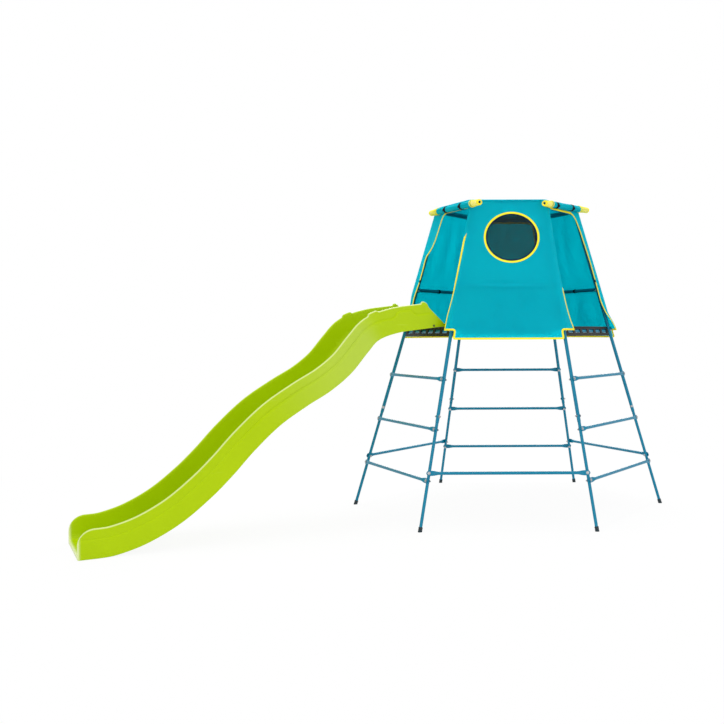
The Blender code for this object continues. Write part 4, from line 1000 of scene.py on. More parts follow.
def make_net():
    """A round of net in XY, made of strands that cross."""
    tree, g, result = start_tree("net", Radius=0.17, Pitch=0.003, Strand=0.0007, Material="Material")
    m = partial(sum_of, tree)

    def vector(**parts):
        return add_node(tree, "ShaderNodeCombineXYZ", {key.upper(): value for key, value in parts.items()})

    across = m("MULTIPLY", g["Radius"], -1.0)
    strand = add_node(tree, "GeometryNodeCurvePrimitiveLine", {"Start": vector(x=across), "End": vector(x=g["Radius"])})
    many = add_node(tree, "GeometryNodeResampleCurve", {"Curve": strand, "Count": NET_POINTS})
    rows = m("FLOOR", m("DIVIDE", m("MULTIPLY", g["Radius"], 2.0), g["Pitch"]))
    places = add_node(tree, "GeometryNodeMeshLine", {
        "Count": rows, "Start Location": vector(y=across), "Offset": vector(y=g["Pitch"])})
    spread = add_node(tree, "GeometryNodeInstanceOnPoints", {"Points": places, "Instance": many})
    one_way = add_node(tree, "GeometryNodeRealizeInstances", {"Geometry": spread})
    other_way = add_node(tree, "GeometryNodeTransform", {
        "Geometry": one_way, "Rotation": (0, 0, math.pi / 2), "Translation": (0, 0, NET_LAYER)})
    both = add_node(tree, "GeometryNodeJoinGeometry")
    for way in (one_way, other_way):
        tree.links.new(way.outputs[0], both.inputs[0])
    away = add_node(tree, "ShaderNodeVectorMath", {0: add_node(tree, "GeometryNodeInputPosition")},
                    operation="LENGTH").outputs["Value"]
    trimmed = add_node(tree, "GeometryNodeDeleteGeometry", {
        "Geometry": both, "Selection": m("GREATER_THAN", away, g["Radius"])}, domain="POINT")
    section = add_node(tree, "GeometryNodeCurvePrimitiveCircle", {"Resolution": 4, "Radius": g["Strand"]})
    tubes = add_node(tree, "GeometryNodeCurveToMesh", {"Curve": trimmed, "Profile Curve": section, "Fill Caps": True})
    return end_tree(tree, tubes, g, result)


def named_uv(mesh):
    """The mesh's UV layer, under the name that the cloth finishes read."""
    layer = mesh.uv_layers[0] if mesh.uv_layers else mesh.uv_layers.new(name="UVMap")
    layer.name = "UVMap"
    return layer


net = grown(make_net(), Radius=0.168, Pitch=0.0024, Strand=0.0008, Material=DARK_NET)
layer = named_uv(net)
for loop in net.loops:
    layer.data[loop.index].uv = net.vertices[loop.vertex_index].co.xy
for vertex in net.vertices:
    x, y, z = vertex.co
    height = WINDOW_HEIGHT + y * FACE_LEAN_COS * WINDOW_SQUEEZE
    vertex.co = wall_point(FRONT_FACE, (WINDOW_SHIFT + x) / flat_half(height) * FLAT, height, -NET_BEHIND - z)
net_piece = keep_piece("window_net_strands", net, DARK_NET, stands_for=["den_window_net"])
print("net", len(net.polygons), "faces")

# %% [markdown]
# ## The roof and its headers
# The roof is one sheet over the top rails. It sags a little between them, turns down over the walls' top
# edges, and carries a narrow header over each doorway, bound along its lower edge.

# %% The roof
ROOF_SAG, ROOF_CREASE, ROOF_PULL = 0.018, 0.005, 0.0035
HEADER_LIFT, HEADER_RIPPLE, HEADER_BINDING_WIDTH, HEADER_DROP = 0.0018, 0.001, 0.0135, 0.044
ROOF_SHARES = (0.04, 0.1, 0.17, 0.25, 0.33, 0.41, 0.49, 0.57, 0.65, 0.73, 0.80, 0.86, 0.91, 0.95, 0.98, 0.995)
ROOF_TURN_DOWN = ((0.0004, 0.0012), (0.0016, 0.004), (0.0014, 0.012))


def hexagon(distance, radius, height, corner_steps=7, flat_steps=14):
    """A level six-sided ring with rounded corners, with the same count of points every time."""
    reach = (distance - radius) / math.cos(TURN / 2)

    def on_corner(corner, turn):
        middle, way = corner * TURN, corner * TURN + turn
        centre = Vector((reach * math.cos(middle), reach * math.sin(middle), height))
        return centre + Vector((math.cos(way), math.sin(way), 0)) * radius

    ring = []
    for corner in range(6):
        ring += [on_corner(corner, turn) for turn in np.linspace(-TURN / 2, TURN / 2, corner_steps)]
        end, start = ring[-1], on_corner(corner + 1, -TURN / 2)
        ring += [end.lerp(start, i / flat_steps) for i in range(1, flat_steps)]
    return ring


def roof_mesh():
    """The roof's sheet in rings, from its sagging middle to its turned-down edge."""
    work = bmesh.new()
    layer = work.loops.layers.uv.new("UVMap")
    edge = face_distance(DEN_TOP) + (COVER_OFFSET + CLOTH) / FACE_LEAN_COS
    rings = []
    for share in ROOF_SHARES:
        ring = hexagon(edge * share, CORNER_RADIUS * share, 0)
        for point in ring:
            crease = noise.noise(Vector((point.x * 9, point.y * 9, 2.0))) * ROOF_CREASE * (1 - share ** 4)
            toward = abs(math.sin(3 * math.atan2(point.y, point.x)))
            point.z = DEN_TOP - ROOF_SAG * (1 - share ** 2) + crease
            point.z -= ROOF_PULL * toward * share ** 6 * (1 - share) * 8
        rings.append(ring)
    for lift, down in ROOF_TURN_DOWN:
        lift += CLOTH
        distance = face_distance(DEN_TOP - down) + (COVER_OFFSET + lift) / FACE_LEAN_COS
        rings.append(hexagon(distance, CORNER_RADIUS + lift, DEN_TOP - down))
    skins = [[work.verts.new(point) for point in ring] for ring in rings]
    middle = work.verts.new((0, 0, DEN_TOP - ROOF_SAG))
    count = len(rings[0])
    for i in range(count):
        j = (i + 1) % count
        work.faces.new((middle, skins[0][i], skins[0][j]))
        for inner, outer in zip(skins, skins[1:]):
            work.faces.new((inner[i], outer[i], outer[j], inner[j]))
    for face in work.faces:
        for loop in face.loops:
            loop[layer].uv = loop.vert.co.xy
    return as_mesh(work, "roof")


roof, _ = cloth_piece("den_roof_cloth", roof_mesh(), ["den_roof"])


# %% Headers over the doorways
def header_point(face, u, height):
    """A point of a header, which lies just outside the walls and ripples a little."""
    return cover(face, u, height, COVER_LIFT + HEADER_LIFT + HEADER_RIPPLE * math.sin(u * 40))


for face, name, low_strip, high_strip in (
        (SLIDE_FACE, "slide", "left", "front_left"), (ENTRY_FACE, "entry", "front_right", "right"),
        (BACK_FACE, "back", "back", "back")):
    low, high = (sign * FLAT * (1 - (strip(side, DOOR_TOP) - 0.004) / flat_half(DOOR_TOP))
                 for sign, side in ((-1, low_strip), (1, high_strip)))
    bottom, place = sampled([(high, DOOR_TOP), (low, DOOR_TOP)]), partial(header_point, face)
    mesh = panel_mesh(place, bottom + over_top(low, high), [], COLUMNS, np.arange(DOOR_TOP, DEN_TOP, ROW_STEP))
    header, _ = cloth_piece(f"header_{name}", mesh)
    trim = keep_piece(f"header_{name}_binding", tape(place, bottom, width=HEADER_BINDING_WIDTH), YELLOW_BINDING)
print("roof and headers done")

# %% [markdown]
# ## The back door's flap
# One door flap hangs down over the back doorway. It is the one moving piece: it lifts about its sewn top
# edge. Its cloth hangs in soft upright folds that grow towards the hem, and it is bound on three sides.

# %% The flap that hangs
FLAP_LIFT, FLAP_HEM, FLAP_STRIP, FLAP_LAP = COVER_OFFSET + CLOTH + 2 * GAP, 1.140, 0.048, 0.022
FLAP_STEP, FLAP_FULLNESS, FLAP_HEIGHT, FOLDS, FOLD_OUT, FOLD_NOISE = 0.010, 1.04, 0.885, 4, 0.009, 0.0016


def flap_reach(height):
    """Half the flap's width at a height: the doorway's and its lap over the strips."""
    return (face_distance(height) + COVER_OFFSET - CORNER_RADIUS) * TAN_HALF - FLAP_STRIP + FLAP_LAP


def flap_place(across, height):
    """across is in metres at the hem, so that it can be measured and sewn."""
    share = (CLOTH_TOP - height) / (CLOTH_TOP - FLAP_HEM)
    side = across / flap_reach(FLAP_HEM)
    wave = (1 - math.cos(math.pi * FOLDS * (side + 1))) / 2
    soft = noise.noise(Vector((side * 3, height * 5, 9.1))) * FOLD_NOISE * share
    fold = FOLD_OUT * share * wave + soft + 0.0008
    return level_point(BACK_FACE, side * flap_reach(height), height, FLAP_LIFT + CLOTH * 0.6 + fold)


reach, top, hem = flap_reach(FLAP_HEM), CLOTH_TOP - 0.001, FLAP_HEM + 0.002
flap_edge = rounded([(reach, top), (reach, hem), (-reach, hem), (-reach, top)], [0, 0.03, 0.03, 0])
flap_edge = sampled(flap_edge, FLAP_STEP)
outline = flap_edge + sampled([flap_edge[-1], flap_edge[0]], FLAP_STEP)[1:-1]
mesh = panel_mesh(flap_place, outline, [], np.linspace(-reach, reach, 97), np.arange(FLAP_HEM, CLOTH_TOP, 0.011))
flap, area = cloth_piece("back_flap_cloth", mesh, ["den_back_flap"], "back_flap")
trim = keep_piece("back_flap_binding", tape(flap_place, flap_edge, body="back_flap"), YELLOW_BINDING, "back_flap")
print("back flap", round(area, 3), "m2")

# %% [markdown]
# ## The rolled door flaps
# The other two flaps are rolled up over their doorways. A rolled flap is a real spiral of cloth here. It is
# wider at its hem, which is rolled up first, so the inner turns stick out of the ends as stepped cones of
# binding. The last turn goes up behind the roll to the roof's edge.

# %% A spiral of cloth
ROLL_HEIGHT, ROLL_RADIUS = 1.972, 0.0225
ROLL_LIFT = COVER_OFFSET + CLOTH + GAP + ROLL_RADIUS
CORE_TURNS, CONE_TURNS, HOLE_RADIUS, CORE_RADIUS = 4, 6, 0.0070, 0.0155
STEPS_A_TURN, ROLL_COLUMNS, RISE_STEPS, HOLE_SHADE_SIDES = 20, 46, 5, 16
ROLL_TURNS = CORE_TURNS + CONE_TURNS
STRAP_PINCH, PINCH_HALF, ROLL_LUMPS, ROLL_SAG, ROLL_SKIN = 0.13, 0.016, 0.035, 0.0020, 0.0008
SEWN_WIDTH, TRIM_GAP, BARE_TURNS, PALE_END = 0.011, 0.0025, 3.2, ROLL_TURNS - 1.9
# Each roll's tips, the ends of its full body and its straps, along the face; then how it leans and drops.
ROLLS = {
    SLIDE_FACE: ("slide", (-0.252, 0.429), (-0.133, 0.327), (-0.019, 0.194), (-0.011, 0.021), None),
    ENTRY_FACE: ("entry", (-0.301, 0.323), (-0.206, 0.183), (-0.146, 0.075), (0.040, 0.008), 1),
}
TRIM_SECTION = ((0, -0.6), (0.08, -1), (0.92, -1), (1, -0.6), (1, 0.4), (0.9, 1), (0.5, 1.3), (0.1, 1), (0, 0.4))


def roll_radius(turns):
    """How far a turn of cloth lies from the roll's middle."""
    if turns < CORE_TURNS:
        return HOLE_RADIUS + (CORE_RADIUS - HOLE_RADIUS) * turns / CORE_TURNS
    return CORE_RADIUS + (ROLL_RADIUS - SKIN - CORE_RADIUS) * ((turns - CORE_TURNS) / CONE_TURNS) ** 2


def roll_frame(face, shift=0.0):
    """A point on the middle of a roll, and its three directions: along the face, out of it and up it."""
    out, along, normal = face_frame(face)
    middle = out * face_distance(ROLL_HEIGHT) + along * shift + Vector((0, 0, ROLL_HEIGHT)) + normal * ROLL_LIFT
    return middle, along, normal, along.cross(normal)


# %% Roll a flap up
def rolled_flap(face):
    """One rolled flap: its cloth, the two trims of each end, and a black plug in each end's hole, which is painted
    shade.
    """
    name, ends, body_ends, straps, (lean, drop), bare_tip = ROLLS[face]
    piece_name = f"rolled_cloth_{name}"
    middle, along, normal, up = roll_frame(face)
    turns = [i / STEPS_A_TURN for i in range(ROLL_TURNS * STEPS_A_TURN + 1)]

    def reach(side, turn):
        return ends[side] + (body_ends[side] - ends[side]) * max(turn - CORE_TURNS, 0.0) / CONE_TURNS

    def spot(turn, x, extra=0.0):
        spin = math.pi - 2 * math.pi * (turn - ROLL_TURNS)
        radius = roll_radius(turn) + extra
        for strap in straps:
            radius *= 1 - STRAP_PINCH * math.exp(-((x - strap) / PINCH_HALF) ** 2)
        radius *= 1 + ROLL_LUMPS * noise.noise(Vector((x * 14, math.cos(spin) * 1.2, math.sin(spin) * 1.2 + face)))
        sag = lean * x - drop + ROLL_SAG * noise.noise(Vector((x * 7, face * 3.1, 0.5)))
        return middle + along * x + (normal * math.cos(spin) + up * math.sin(spin)) * radius + Vector((0, 0, sag))

    rows, lengths = [], []
    for i, turn in enumerate(turns):
        low, high = reach(0, turn), reach(1, turn)
        rows.append([spot(turn, low + (high - low) * c / ROLL_COLUMNS) for c in range(ROLL_COLUMNS + 1)])
        lengths.append(lengths[-1] + 2 * math.pi * roll_radius(turn) / STEPS_A_TURN if i else 0.0)
    last_row, rolled = rows[-1], lengths[-1]
    for step in range(1, RISE_STEPS + 1):
        rise = ROLL_RADIUS * step / RISE_STEPS
        rows.append([start + Vector((0, 0, rise)) for start in last_row])
        lengths.append(rolled + rise)
    work = bmesh.new()
    layer = work.loops.layers.uv.new("UVMap")
    verts = [[work.verts.new(point) for point in row] for row in rows]
    for r in range(len(rows) - 1):
        for c in range(ROLL_COLUMNS):
            corners = ((r, c), (r, c + 1), (r + 1, c + 1), (r + 1, c))
            for loop, (i, j) in zip(work.faces.new([verts[i][j] for i, j in corners]).loops, corners):
                loop[layer].uv = ((j / ROLL_COLUMNS - 0.5) * 0.6, lengths[i])
    mesh = as_mesh(work, piece_name)
    for side, sign in ((0, -1), (1, 1)):
        pitch = abs(ends[side] - body_ends[side]) / CONE_TURNS
        first = BARE_TURNS if bare_tip == side else 0.0
        sewn = min(pitch * 0.5, SEWN_WIDTH)
        for kind, start, width, lift, end, material in (
                ("pale", sewn + TRIM_GAP, pitch + 0.0015 - sewn, 0.0008, PALE_END, PALE_ROLL_BANDS),
                ("binding", 0.0, sewn, 0.0026, ROLL_TURNS, YELLOW_BINDING)):
            rings = [[spot(turn, reach(side, turn) + sign * 0.001 - sign * (start + width * a),
                           0.0004 + lift * (d * 0.5 + 0.5)) for a, d in TRIM_SECTION]
                     for turn in turns if first <= turn <= end]
            keep_piece(f"{piece_name}_{kind}_{side}", loft(rings), material)
        # Painted shade: a black plug inside each end's hole stands for the shade deep within the roll.
        hole_shade = []
        for x in (ends[side] - sign * deep for deep in (0.004, 0.030)):
            centre = middle + along * x + Vector((0, 0, lean * x - drop))
            hole_shade.append([centre + (normal * math.cos(spin) + up * math.sin(spin)) * (HOLE_RADIUS - 0.001)
                         for spin in np.linspace(0, 2 * math.pi, HOLE_SHADE_SIDES, endpoint=False)])
        keep_piece(f"{piece_name}_core_{side}", loft(hole_shade), BLACK_WEBBING)
    piece, area = cloth_piece(piece_name, mesh, [f"rolled_flap_{name}"], thickness=ROLL_SKIN, offset=0.0)


for face in ROLLS:
    rolled_flap(face)

# %% [markdown]
# ## Straps
# Black webbing ties the rolled flaps up and holds the walls to the frame. Each tie is a band of webbing
# round its roll or rail, and the rolls' ties have a hanging tail.

# %% Bands of webbing
BAND_SIDES, TAIL_STEPS, TIE_WIDTH, TIE_TAIL, RAIL_BAND_WIDTH, RAIL_BAND_THICKNESS = 28, 8, 0.024, 0.018, 0.018, 0.0022
BAND_SECTION = ((-1, 0.2), (-0.9, 0), (0.9, 0), (1, 0.2), (1, 0.8), (0.9, 1), (-0.9, 1), (-1, 0.8))


def band(middle, axis, across, up, radius, width, thickness=0.0016, tail=None):
    """A closed band round a roll or rail. The tail hangs from its front."""
    rings = []
    for i in range(BAND_SIDES):
        spin = 2 * math.pi * i / BAND_SIDES
        way = across * math.cos(spin) + up * math.sin(spin)
        rings.append([middle + axis * (a * width / 2) + way * (radius + d * thickness) for a, d in BAND_SECTION])
    meshes = [loft(rings, closed_path=True)]
    if tail:
        rings = []
        for i in range(TAIL_STEPS + 1):
            t = i / TAIL_STEPS
            spot = middle + across * (radius + 0.001 + 0.005 * math.sin(t * 2.4)) - Vector((0, 0, tail * t))
            rings.append([spot + axis * (a * width * 0.5) + across * (d * thickness * 0.5)
                          for a, d in ((-1, -1), (1, -1), (1, 1), (-1, 1))])
        meshes.append(loft(rings))
    return meshes


straps = []
for face, (_, _, _, spots, (lean, drop), _) in ROLLS.items():
    for spot in spots:
        middle, along, normal, up = roll_frame(face, spot)
        straps += band(middle + Vector((0, 0, lean * spot - drop)), along, normal, up, ROLL_RADIUS * 0.9, TIE_WIDTH,
                       tail=TIE_TAIL)
for face, spot in ((LEFT_FACE, 0.024), (RIGHT_FACE, -0.022)):
    _, along, normal = face_frame(face)
    middle = level_point(face, spot, GUARD_RAIL_HEIGHT, RAIL_OFFSET)
    straps += band(middle, along, -normal, along.cross(normal), RAIL_RADIUS + 0.0004, RAIL_BAND_WIDTH,
                   RAIL_BAND_THICKNESS)
keep_piece("webbing_ties", joined(straps), BLACK_WEBBING, angle=60)
print("straps", len(straps))

# %% [markdown]
# ## The slide
# The slide is one blow-moulded shell: a bed between two walls with thick rounded rims, open underneath. It
# is a loft, which is a section carried along a wavy path and changed as it goes: the walls rise from the
# deck, carry a lug at two places, and round off at the foot.

# %% The slide's measures and path
SLIDE_RUN, SLIDE_WIDTH, WALL_HEIGHT = 2.100, 0.480, 0.155
SLIDE_WAVE = (
    (0.0, 1.0), (0.012, 1.0), (0.075, 0.987), (0.145, 0.970), (0.205, 0.935), (0.240, 0.874),
    (0.290, 0.773), (0.350, 0.690), (0.420, 0.619), (0.495, 0.533), (0.565, 0.422), (0.620, 0.319),
    (0.680, 0.219), (0.755, 0.118), (0.835, 0.045), (0.905, 0.008), (0.950, 0.0), (1.0, 0.0),
)
SLIDE_STEPS, RING_STEP, HEADING_REACH, OPEN_FROM = 10, 0.014, 0.022, 0.005
BED_RISE, SLIDE_LUGS, LUG_LENGTH, LUG_HEIGHT = 0.020, (0.051, 0.192), 0.046, 0.012
ENTRY_SLANT, END_ROUND, SLIDE_LIP, SLIDE_GAP = 0.105, 0.085, 0.062, 0.0045
RIM_DEPTH, RIM_WIDTH, SHELL, FOOT_IN, BED_ROUND = 0.010, 0.022, 0.005, 0.034, 0.060
WALL_TAPER, GROOVE_STEP, GROOVE_DEPTH, GROOVE_HALF, HALF_SECTION = 0.006, 0.004, 0.003, 0.0065, 44
# The lip that lies on the deck: (run, share of its full thickness).
LIP_RINGS = ((-SLIDE_LIP, 0.45), (-SLIDE_LIP + 0.004, 0.8), (-SLIDE_LIP + 0.012, 1.0), (-0.02, 1.0))


def slide_point(run, across, height):
    """A point of the slide: run is out from the tower, across is along its face."""
    out, along, _ = face_frame(SLIDE_FACE)
    return out * (face_distance(DECK_TOP) + SLIDE_GAP + run) + along * across + Vector((0, 0, height))


def slide_curve(steps):
    """The underside's path as (run, height), through the wave's points."""
    points = [np.array((run * SLIDE_RUN, share * DECK_TOP)) for run, share in SLIDE_WAVE]
    curve = []
    for i in range(len(points) - 1):
        p0, p1, p2, p3 = points[max(i - 1, 0)], points[i], points[i + 1], points[min(i + 2, len(points) - 1)]
        for step in range(steps):
            t = step / steps
            curve.append(0.5 * (2 * p1 + (p2 - p0) * t + (2 * p0 - 5 * p1 + 4 * p2 - p3) * t ** 2
                                + (3 * p1 - p0 - 3 * p2 + p3) * t ** 3))
    curve.append(points[-1])
    return np.maximum(np.array(curve), (-1.0, 0.0))


# %% The slide's section
def groove_drop(mark):
    """How far below the rim the groove in the outer wall runs: it climbs over a hump near the top."""
    drop = 0.056 + 0.009 * smooth(0.40, 0.33, mark)
    return drop + (0.031 - drop) * smooth(0.32, 0.28, mark) * smooth(0.17, 0.21, mark)


def slide_section(wall, mark, hollow=True):
    """Half the outer skin as (across, up), from the foot over the rim to the bed's middle, and its inner skin."""
    half = SLIDE_WIDTH / 2
    bed = min(BED_RISE, max(wall, SHELL))
    top = max(wall, bed + 1e-4)
    share = top / WALL_HEIGHT
    rim, edge = top - RIM_DEPTH * share, GROOVE_HALF * share
    level = WALL_HEIGHT - groove_drop(mark)
    line = min(level, rim - 1.5 * edge)
    depth = GROOVE_DEPTH * (0.2 + 0.5 * smooth(0.35, 0.60, mark) * smooth(1.5, 1.1, mark))
    depth *= smooth(0.020, 0.0, level - line)
    rows = [((line - edge) * i / 8, 0, 0) for i in range(8)]
    rows += [(line + edge * a, deep, step) for a, deep, step in
             ((-1, 0, 0), (-0.55, 1, 0), (0, 1, 0.5), (0.55, 1, 1), (1, 0, 1))]
    rows += [(line + edge + (rim - line - edge) * i / 6, 0, 1) for i in range(1, 7)]
    skin, plain = [], []
    for up, deep, step in rows:
        across = half - share * (WALL_TAPER * up / rim + GROOVE_STEP * step)
        plain.append(across)
        skin.append((across - depth * share * deep, up))
    outer, inner = half - RIM_DEPTH * share, half - RIM_DEPTH * share - RIM_WIDTH
    for i in range(1, 12):
        spin = math.pi * i / 12
        across = (outer + inner) / 2 + (outer - inner) / 2 * math.copysign(abs(math.cos(spin)) ** 0.75, math.cos(spin))
        skin.append((across, top - RIM_DEPTH * share + RIM_DEPTH * share * math.sin(spin) ** 0.75))
    foot = half - FOOT_IN
    rise = top - bed
    for t, a in ((1.0, 0.0), (0.9, 0.0), (0.72, 0.1), (0.52, 0.25), (0.36, 0.5), (0.24, 0.85)):
        skin.append((inner + (foot - inner) * a * (1 - t) / 0.76, bed + rise * 0.94 * t))
    for t in (0.2, 0.4, 0.6, 0.8, 1.0):
        spin = t * math.pi / 2
        skin.append((foot - BED_ROUND * (1 - math.cos(spin)) - 0.002,
                     bed + rise * 0.20 * (1 - math.sin(spin)) ** 1.6))
    skin += [((foot - BED_ROUND - 0.002) * x, bed) for x in (0.6, 0.3, 0.0)]
    if not hollow:
        return skin, [(x, 0.0) for x, _ in skin]
    under = []
    for i, (x, z) in enumerate(skin):
        before, after = np.array(skin[max(i - 1, 0)]), np.array(skin[min(i + 1, len(skin) - 1)])
        along = (after - before) / max(np.linalg.norm(after - before), 1e-9)
        under.append((plain[i] - SHELL, z) if i < len(plain) else (x - along[1] * SHELL, z + along[0] * SHELL))
    under[0], under[-1] = (half - SHELL, 0.0), (0.0, bed - SHELL)
    return skin, under


# %% The slide's sections along its path
def slide_rings():
    """The slide's sections as rings of points, and how far down the slide each one is."""
    curve = slide_curve(SLIDE_STEPS)
    lengths = np.concatenate(([0.0], np.cumsum(np.linalg.norm(np.diff(curve, axis=0), axis=1))))
    total = lengths[-1]

    def on_curve(mark):
        return [float(np.interp(mark, lengths, curve[:, axis])) for axis in (0, 1)]

    lugs = [float(np.interp(lug * SLIDE_RUN, curve[:, 0], lengths)) for lug in SLIDE_LUGS]
    marks = set(np.arange(0.0, total, RING_STEP)) | {OPEN_FROM, 0.006, total - 0.006, total - OPEN_FROM, total}
    marks |= {total - END_ROUND * (1 - math.cos(i * math.pi / 20)) for i in range(11)}
    for middle in lugs:
        marks |= {middle + side * (LUG_LENGTH / 2 + d) for side in (-1, 1) for d in (-0.008, -0.005, -0.002, 0.001)}
    rings = [(run, DECK_TOP + GAP, 0.0, *slide_section(BED_RISE, 0.0, False), share) for run, share in LIP_RINGS]
    kept = []
    for mark in sorted(marks):
        if kept and mark - kept[-1] < 0.0008:
            continue
        kept.append(mark)
        ahead, behind = on_curve(mark + HEADING_REACH), on_curve(mark - HEADING_REACH)
        heading = math.atan2(ahead[1] - behind[1], ahead[0] - behind[0])
        run, rise = on_curve(mark)
        wall = WALL_HEIGHT
        if mark < ENTRY_SLANT:
            wall = BED_RISE + (WALL_HEIGHT - BED_RISE) * mark / ENTRY_SLANT
        short = END_ROUND - (total - mark)
        if short > 0:
            wall -= END_ROUND - math.sqrt(max(END_ROUND ** 2 - short ** 2, 0))
        for middle in lugs:
            wall += LUG_HEIGHT * smooth(LUG_LENGTH / 2 + 0.002, LUG_LENGTH / 2 - 0.008, abs(mark - middle))
        section = slide_section(wall, mark, OPEN_FROM < mark < total - OPEN_FROM)
        rings.append((run, rise + (GAP if mark < 0.05 else 0.0), heading, *section, 1.0))
    placed = []
    for run, rise, heading, skin, under, share in rings:
        outline = skin + [(-x, z) for x, z in reversed(skin[:-1])]
        outline += [(-x, z) for x, z in under] + [(x, z) for x, z in reversed(under[:-1])]
        placed.append([slide_point(run - z * share * math.sin(heading), x, rise + z * share * math.cos(heading))
                       for x, z in outline])
    return placed, [-1.0] * len(LIP_RINGS) + kept


# %% Build the slide
rings, marks = slide_rings()
slide_mesh = loft(rings)
# Painted highlight and sheen: the rims and the foot's edge get a pale share, and the steep part of the outer walls a
# faint painted sheen.
painted_highlight_share = []
for mark in marks:
    to_end = marks[-1] - mark
    painted_sheen = 0.09 * smooth(0.40, 0.50, mark) * smooth(1.30, 0.60, mark)
    edge = 0.60 * smooth(0.012, 0.004, to_end) * smooth(-0.5, 0.0, mark)
    rim = 0.45 * smooth(0.02, 0.10, mark)
    half = [max(painted_sheen, edge)] * 20 + [max(rim, edge)] * 5 + [edge] * (HALF_SECTION - 25)
    painted_highlight_share += half + half[-2::-1] + [0.0] * (2 * HALF_SECTION - 1)
slide_mesh.attributes.new("rim", "FLOAT", "POINT").data.foreach_set("value", painted_highlight_share)
keep_piece("slide_shell", slide_mesh, SLIDE_PLASTIC, stands_for=["slide"], angle=38)
print("slide", len(rings), "sections,", len(slide_mesh.polygons), "faces")

# %% [markdown]
# ## The deck and the slide's bolts
# The deck's solids already have the right shape, with their ribs and their pierced skirts. Sharp edges give
# a moulding away, so each half is a merged copy of its solid with small rounded edges. The two slide bolts
# keep their solids and get a dark olive colour, which is painted shade of the recesses that they sit in.

# %% Round the deck's edges
DECK_EDGE = 0.0012
for node in ("deck_front", "deck_back"):
    work = bmesh.new()
    work.from_mesh(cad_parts[node].data)
    bmesh.ops.remove_doubles(work, verts=work.verts, dist=1e-5)
    bmesh.ops.dissolve_limit(work, angle_limit=math.radians(1), verts=work.verts, edges=work.edges)
    half = keep_piece(f"{node}_moulding", as_mesh(work, node), DECK_PLASTIC,
                      stands_for=[node], angle=30, placed=Matrix())
    bevel = half.modifiers.new("edges", "BEVEL")
    bevel.width, bevel.segments, bevel.limit_method, bevel.angle_limit = DECK_EDGE, 2, "ANGLE", math.radians(40)
    bevel.harden_normals = False
    print(node, len(half.data.polygons), "faces")
# The slide bolts' dark olive colour is painted shade of their recesses.
for node in ("slide_bolt_front", "slide_bolt_back"):
    for material_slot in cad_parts[node].material_slots:
        material_slot.material = RECESS_SHADED_STEEL

# %% [markdown]
# ## Stitches
# The bindings are sewn on with a line of thread. Geometry Nodes turn each seam's points into a curve, space
# it evenly, and set a short stitch on each place, lying along the seam.

# %% The tree for a seam's stitches
def make_stitches():
    """A stitch at every pitch along a seam, lying on the surface."""
    tree, g, result = start_tree("stitches", Pitch=0.005, Stitch_Length=0.0034, Thread=0.0006, Material="Material")
    seam = add_node(tree, "GeometryNodeMeshToCurve", {"Mesh": g["Geometry"]})
    even = add_node(tree, "GeometryNodeResampleCurve", {"Curve": seam, "Length": g["Pitch"]}, mode="LENGTH")
    normal = add_node(tree, "GeometryNodeInputNamedAttribute", {"Name": "facing"}, data_type="FLOAT_VECTOR")
    stood = add_node(tree, "FunctionNodeAlignRotationToVector", {"Vector": normal}, axis="Z")
    laid = add_node(tree, "FunctionNodeAlignRotationToVector", {
        "Rotation": stood, "Vector": add_node(tree, "GeometryNodeInputTangent")}, axis="X", pivot_axis="Z")
    size = add_node(tree, "ShaderNodeCombineXYZ", {0: g["Stitch Length"], 1: g["Thread"], 2: g["Thread"]})
    stitch = add_node(tree, "GeometryNodeMeshCube", {"Size": size})
    spread = add_node(tree, "GeometryNodeInstanceOnPoints", {
        "Points": even, "Instance": stitch.outputs["Mesh"], "Rotation": laid})
    return end_tree(tree, spread, g, result)


STITCHES = make_stitches()
for body, seams in STITCH_LINES.items():
    spots, edges = [], []
    for seam, closed in seams:
        start = len(spots)
        spots += seam
        edges += [(start + i, start + i + 1) for i in range(len(seam) - 1)]
        if closed:
            edges.append((len(spots) - 1, start))
    made = grown(STITCHES, carrier_of(spots, edges), Material=THREAD)
    named_uv(made)
    keep_piece(f"stitches_{body}", made, THREAD, body)
    print(body, len(made.polygons) // 6, "stitches")

# %% [markdown]
# ## Floor, backdrop and light
# The photograph has a white studio ground with hardly a shadow. The floor is pale and gives off some of its
# own white, to the camera and in reflections only, so it stays bright and still holds a soft shadow. A large
# lamp stands on the left and one almost as strong fills from the right. One behind the tower and one above it
# light the den's inside through its cloth, and the world gives even light.

# %% Floor
def seen_directly(tree):
    """1 for rays from the camera, reflected or let through, and 0 for those that only carry light."""
    path = add_node(tree, "ShaderNodeLightPath").outputs
    mirrored = sum_of(tree, "MAXIMUM", path["Is Glossy Ray"], path["Is Transmission Ray"])
    return sum_of(tree, "MAXIMUM", path["Is Camera Ray"], mirrored)


def put_out(tree, kind, surface):
    """Ends a shader tree."""
    tree.links.new(surface.outputs[0], add_node(tree, kind).inputs["Surface"])


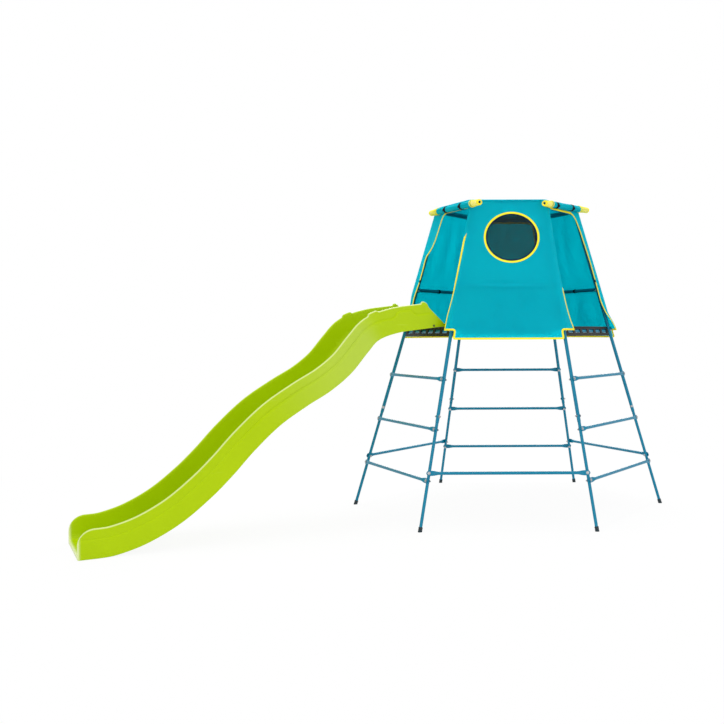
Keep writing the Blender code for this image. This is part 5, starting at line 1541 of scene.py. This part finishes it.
def floor_material():
    """Matt white that also glows for rays that see it, more so further out."""
    material = bpy.data.materials.new("floor")
    material.use_nodes = True
    tree = material.node_tree
    tree.nodes.clear()
    m = partial(sum_of, tree)
    matt = add_node(tree, "ShaderNodeBsdfDiffuse", {"Color": (0.86, 0.86, 0.86, 1)})
    glow = add_node(tree, "ShaderNodeEmission", {"Color": (1, 1, 1, 1), "Strength": 1.0})
    parts = add_node(tree, "ShaderNodeSeparateXYZ", {0: add_node(tree, "ShaderNodeTexCoord").outputs["Object"]}).outputs
    away = m("SQRT", m("ADD", m("POWER", parts[0], 2.0), m("POWER", parts[1], 2.0)))
    glowing = add_node(tree, "ShaderNodeMapRange", {
        "Value": away, "From Min": 1.6, "From Max": 3.6, "To Min": 0.92, "To Max": 1.0})
    share = m("MULTIPLY", seen_directly(tree), glowing)
    put_out(tree, "ShaderNodeOutputMaterial", add_node(tree, "ShaderNodeMixShader", {0: share, 1: matt, 2: glow}))
    return material


FLOOR_HALF, FLOOR_HEIGHT = 40, -0.0005
floor_mesh = bpy.data.meshes.new("floor")
corners = [(x * FLOOR_HALF, y * FLOOR_HALF, FLOOR_HEIGHT) for x, y in ((-1, -1), (1, -1), (1, 1), (-1, 1))]
floor_mesh.from_pydata(corners, [], [(0, 1, 2, 3)])
floor_mesh.materials.append(floor_material())
floor = bpy.data.objects.new("floor", floor_mesh)
scene.collection.objects.link(floor)
floor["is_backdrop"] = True

# %% World and lamps
# Each lamp's place, the point that it is aimed at, its size in metres and its power in watts.
LAMPS = {
    "key": ((-3.4, -5.4, 2.8), (0.6, 0.3, 1.2), 3.6, 64),
    "fill": ((4.6, -4.8, 2.2), (0.6, 0.3, 1.3), 3.6, 55),
    "behind": ((0.7, 6.0, 2.8), (0.7, 0.3, 1.5), 5.0, 190),
    "above": ((0.3, 0.4, 5.6), (0.5, 0.3, 1.0), 2.4, 110),
}
world = bpy.data.worlds.new("studio")
scene.world = world
world.use_nodes = True
tree = world.node_tree
tree.nodes.clear()
power = sum_of(tree, "MULTIPLY_ADD", seen_directly(tree), 0.22, 0.78)
put_out(tree, "ShaderNodeOutputWorld", add_node(tree, "ShaderNodeBackground", {
    "Color": (1, 1, 1, 1), "Strength": power}))
for name, (place, target, size, watts) in LAMPS.items():
    data = bpy.data.lights.new(name, "AREA")
    data.shape, data.size, data.energy = "DISK", size, watts
    lamp = bpy.data.objects.new(name, data)
    lamp.location = place
    lamp.rotation_euler = (Vector(target) - Vector(place)).to_track_quat("-Z", "Y").to_euler()
    scene.collection.objects.link(lamp)

# %% Sizes: the bounds of everything shown
low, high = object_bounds()
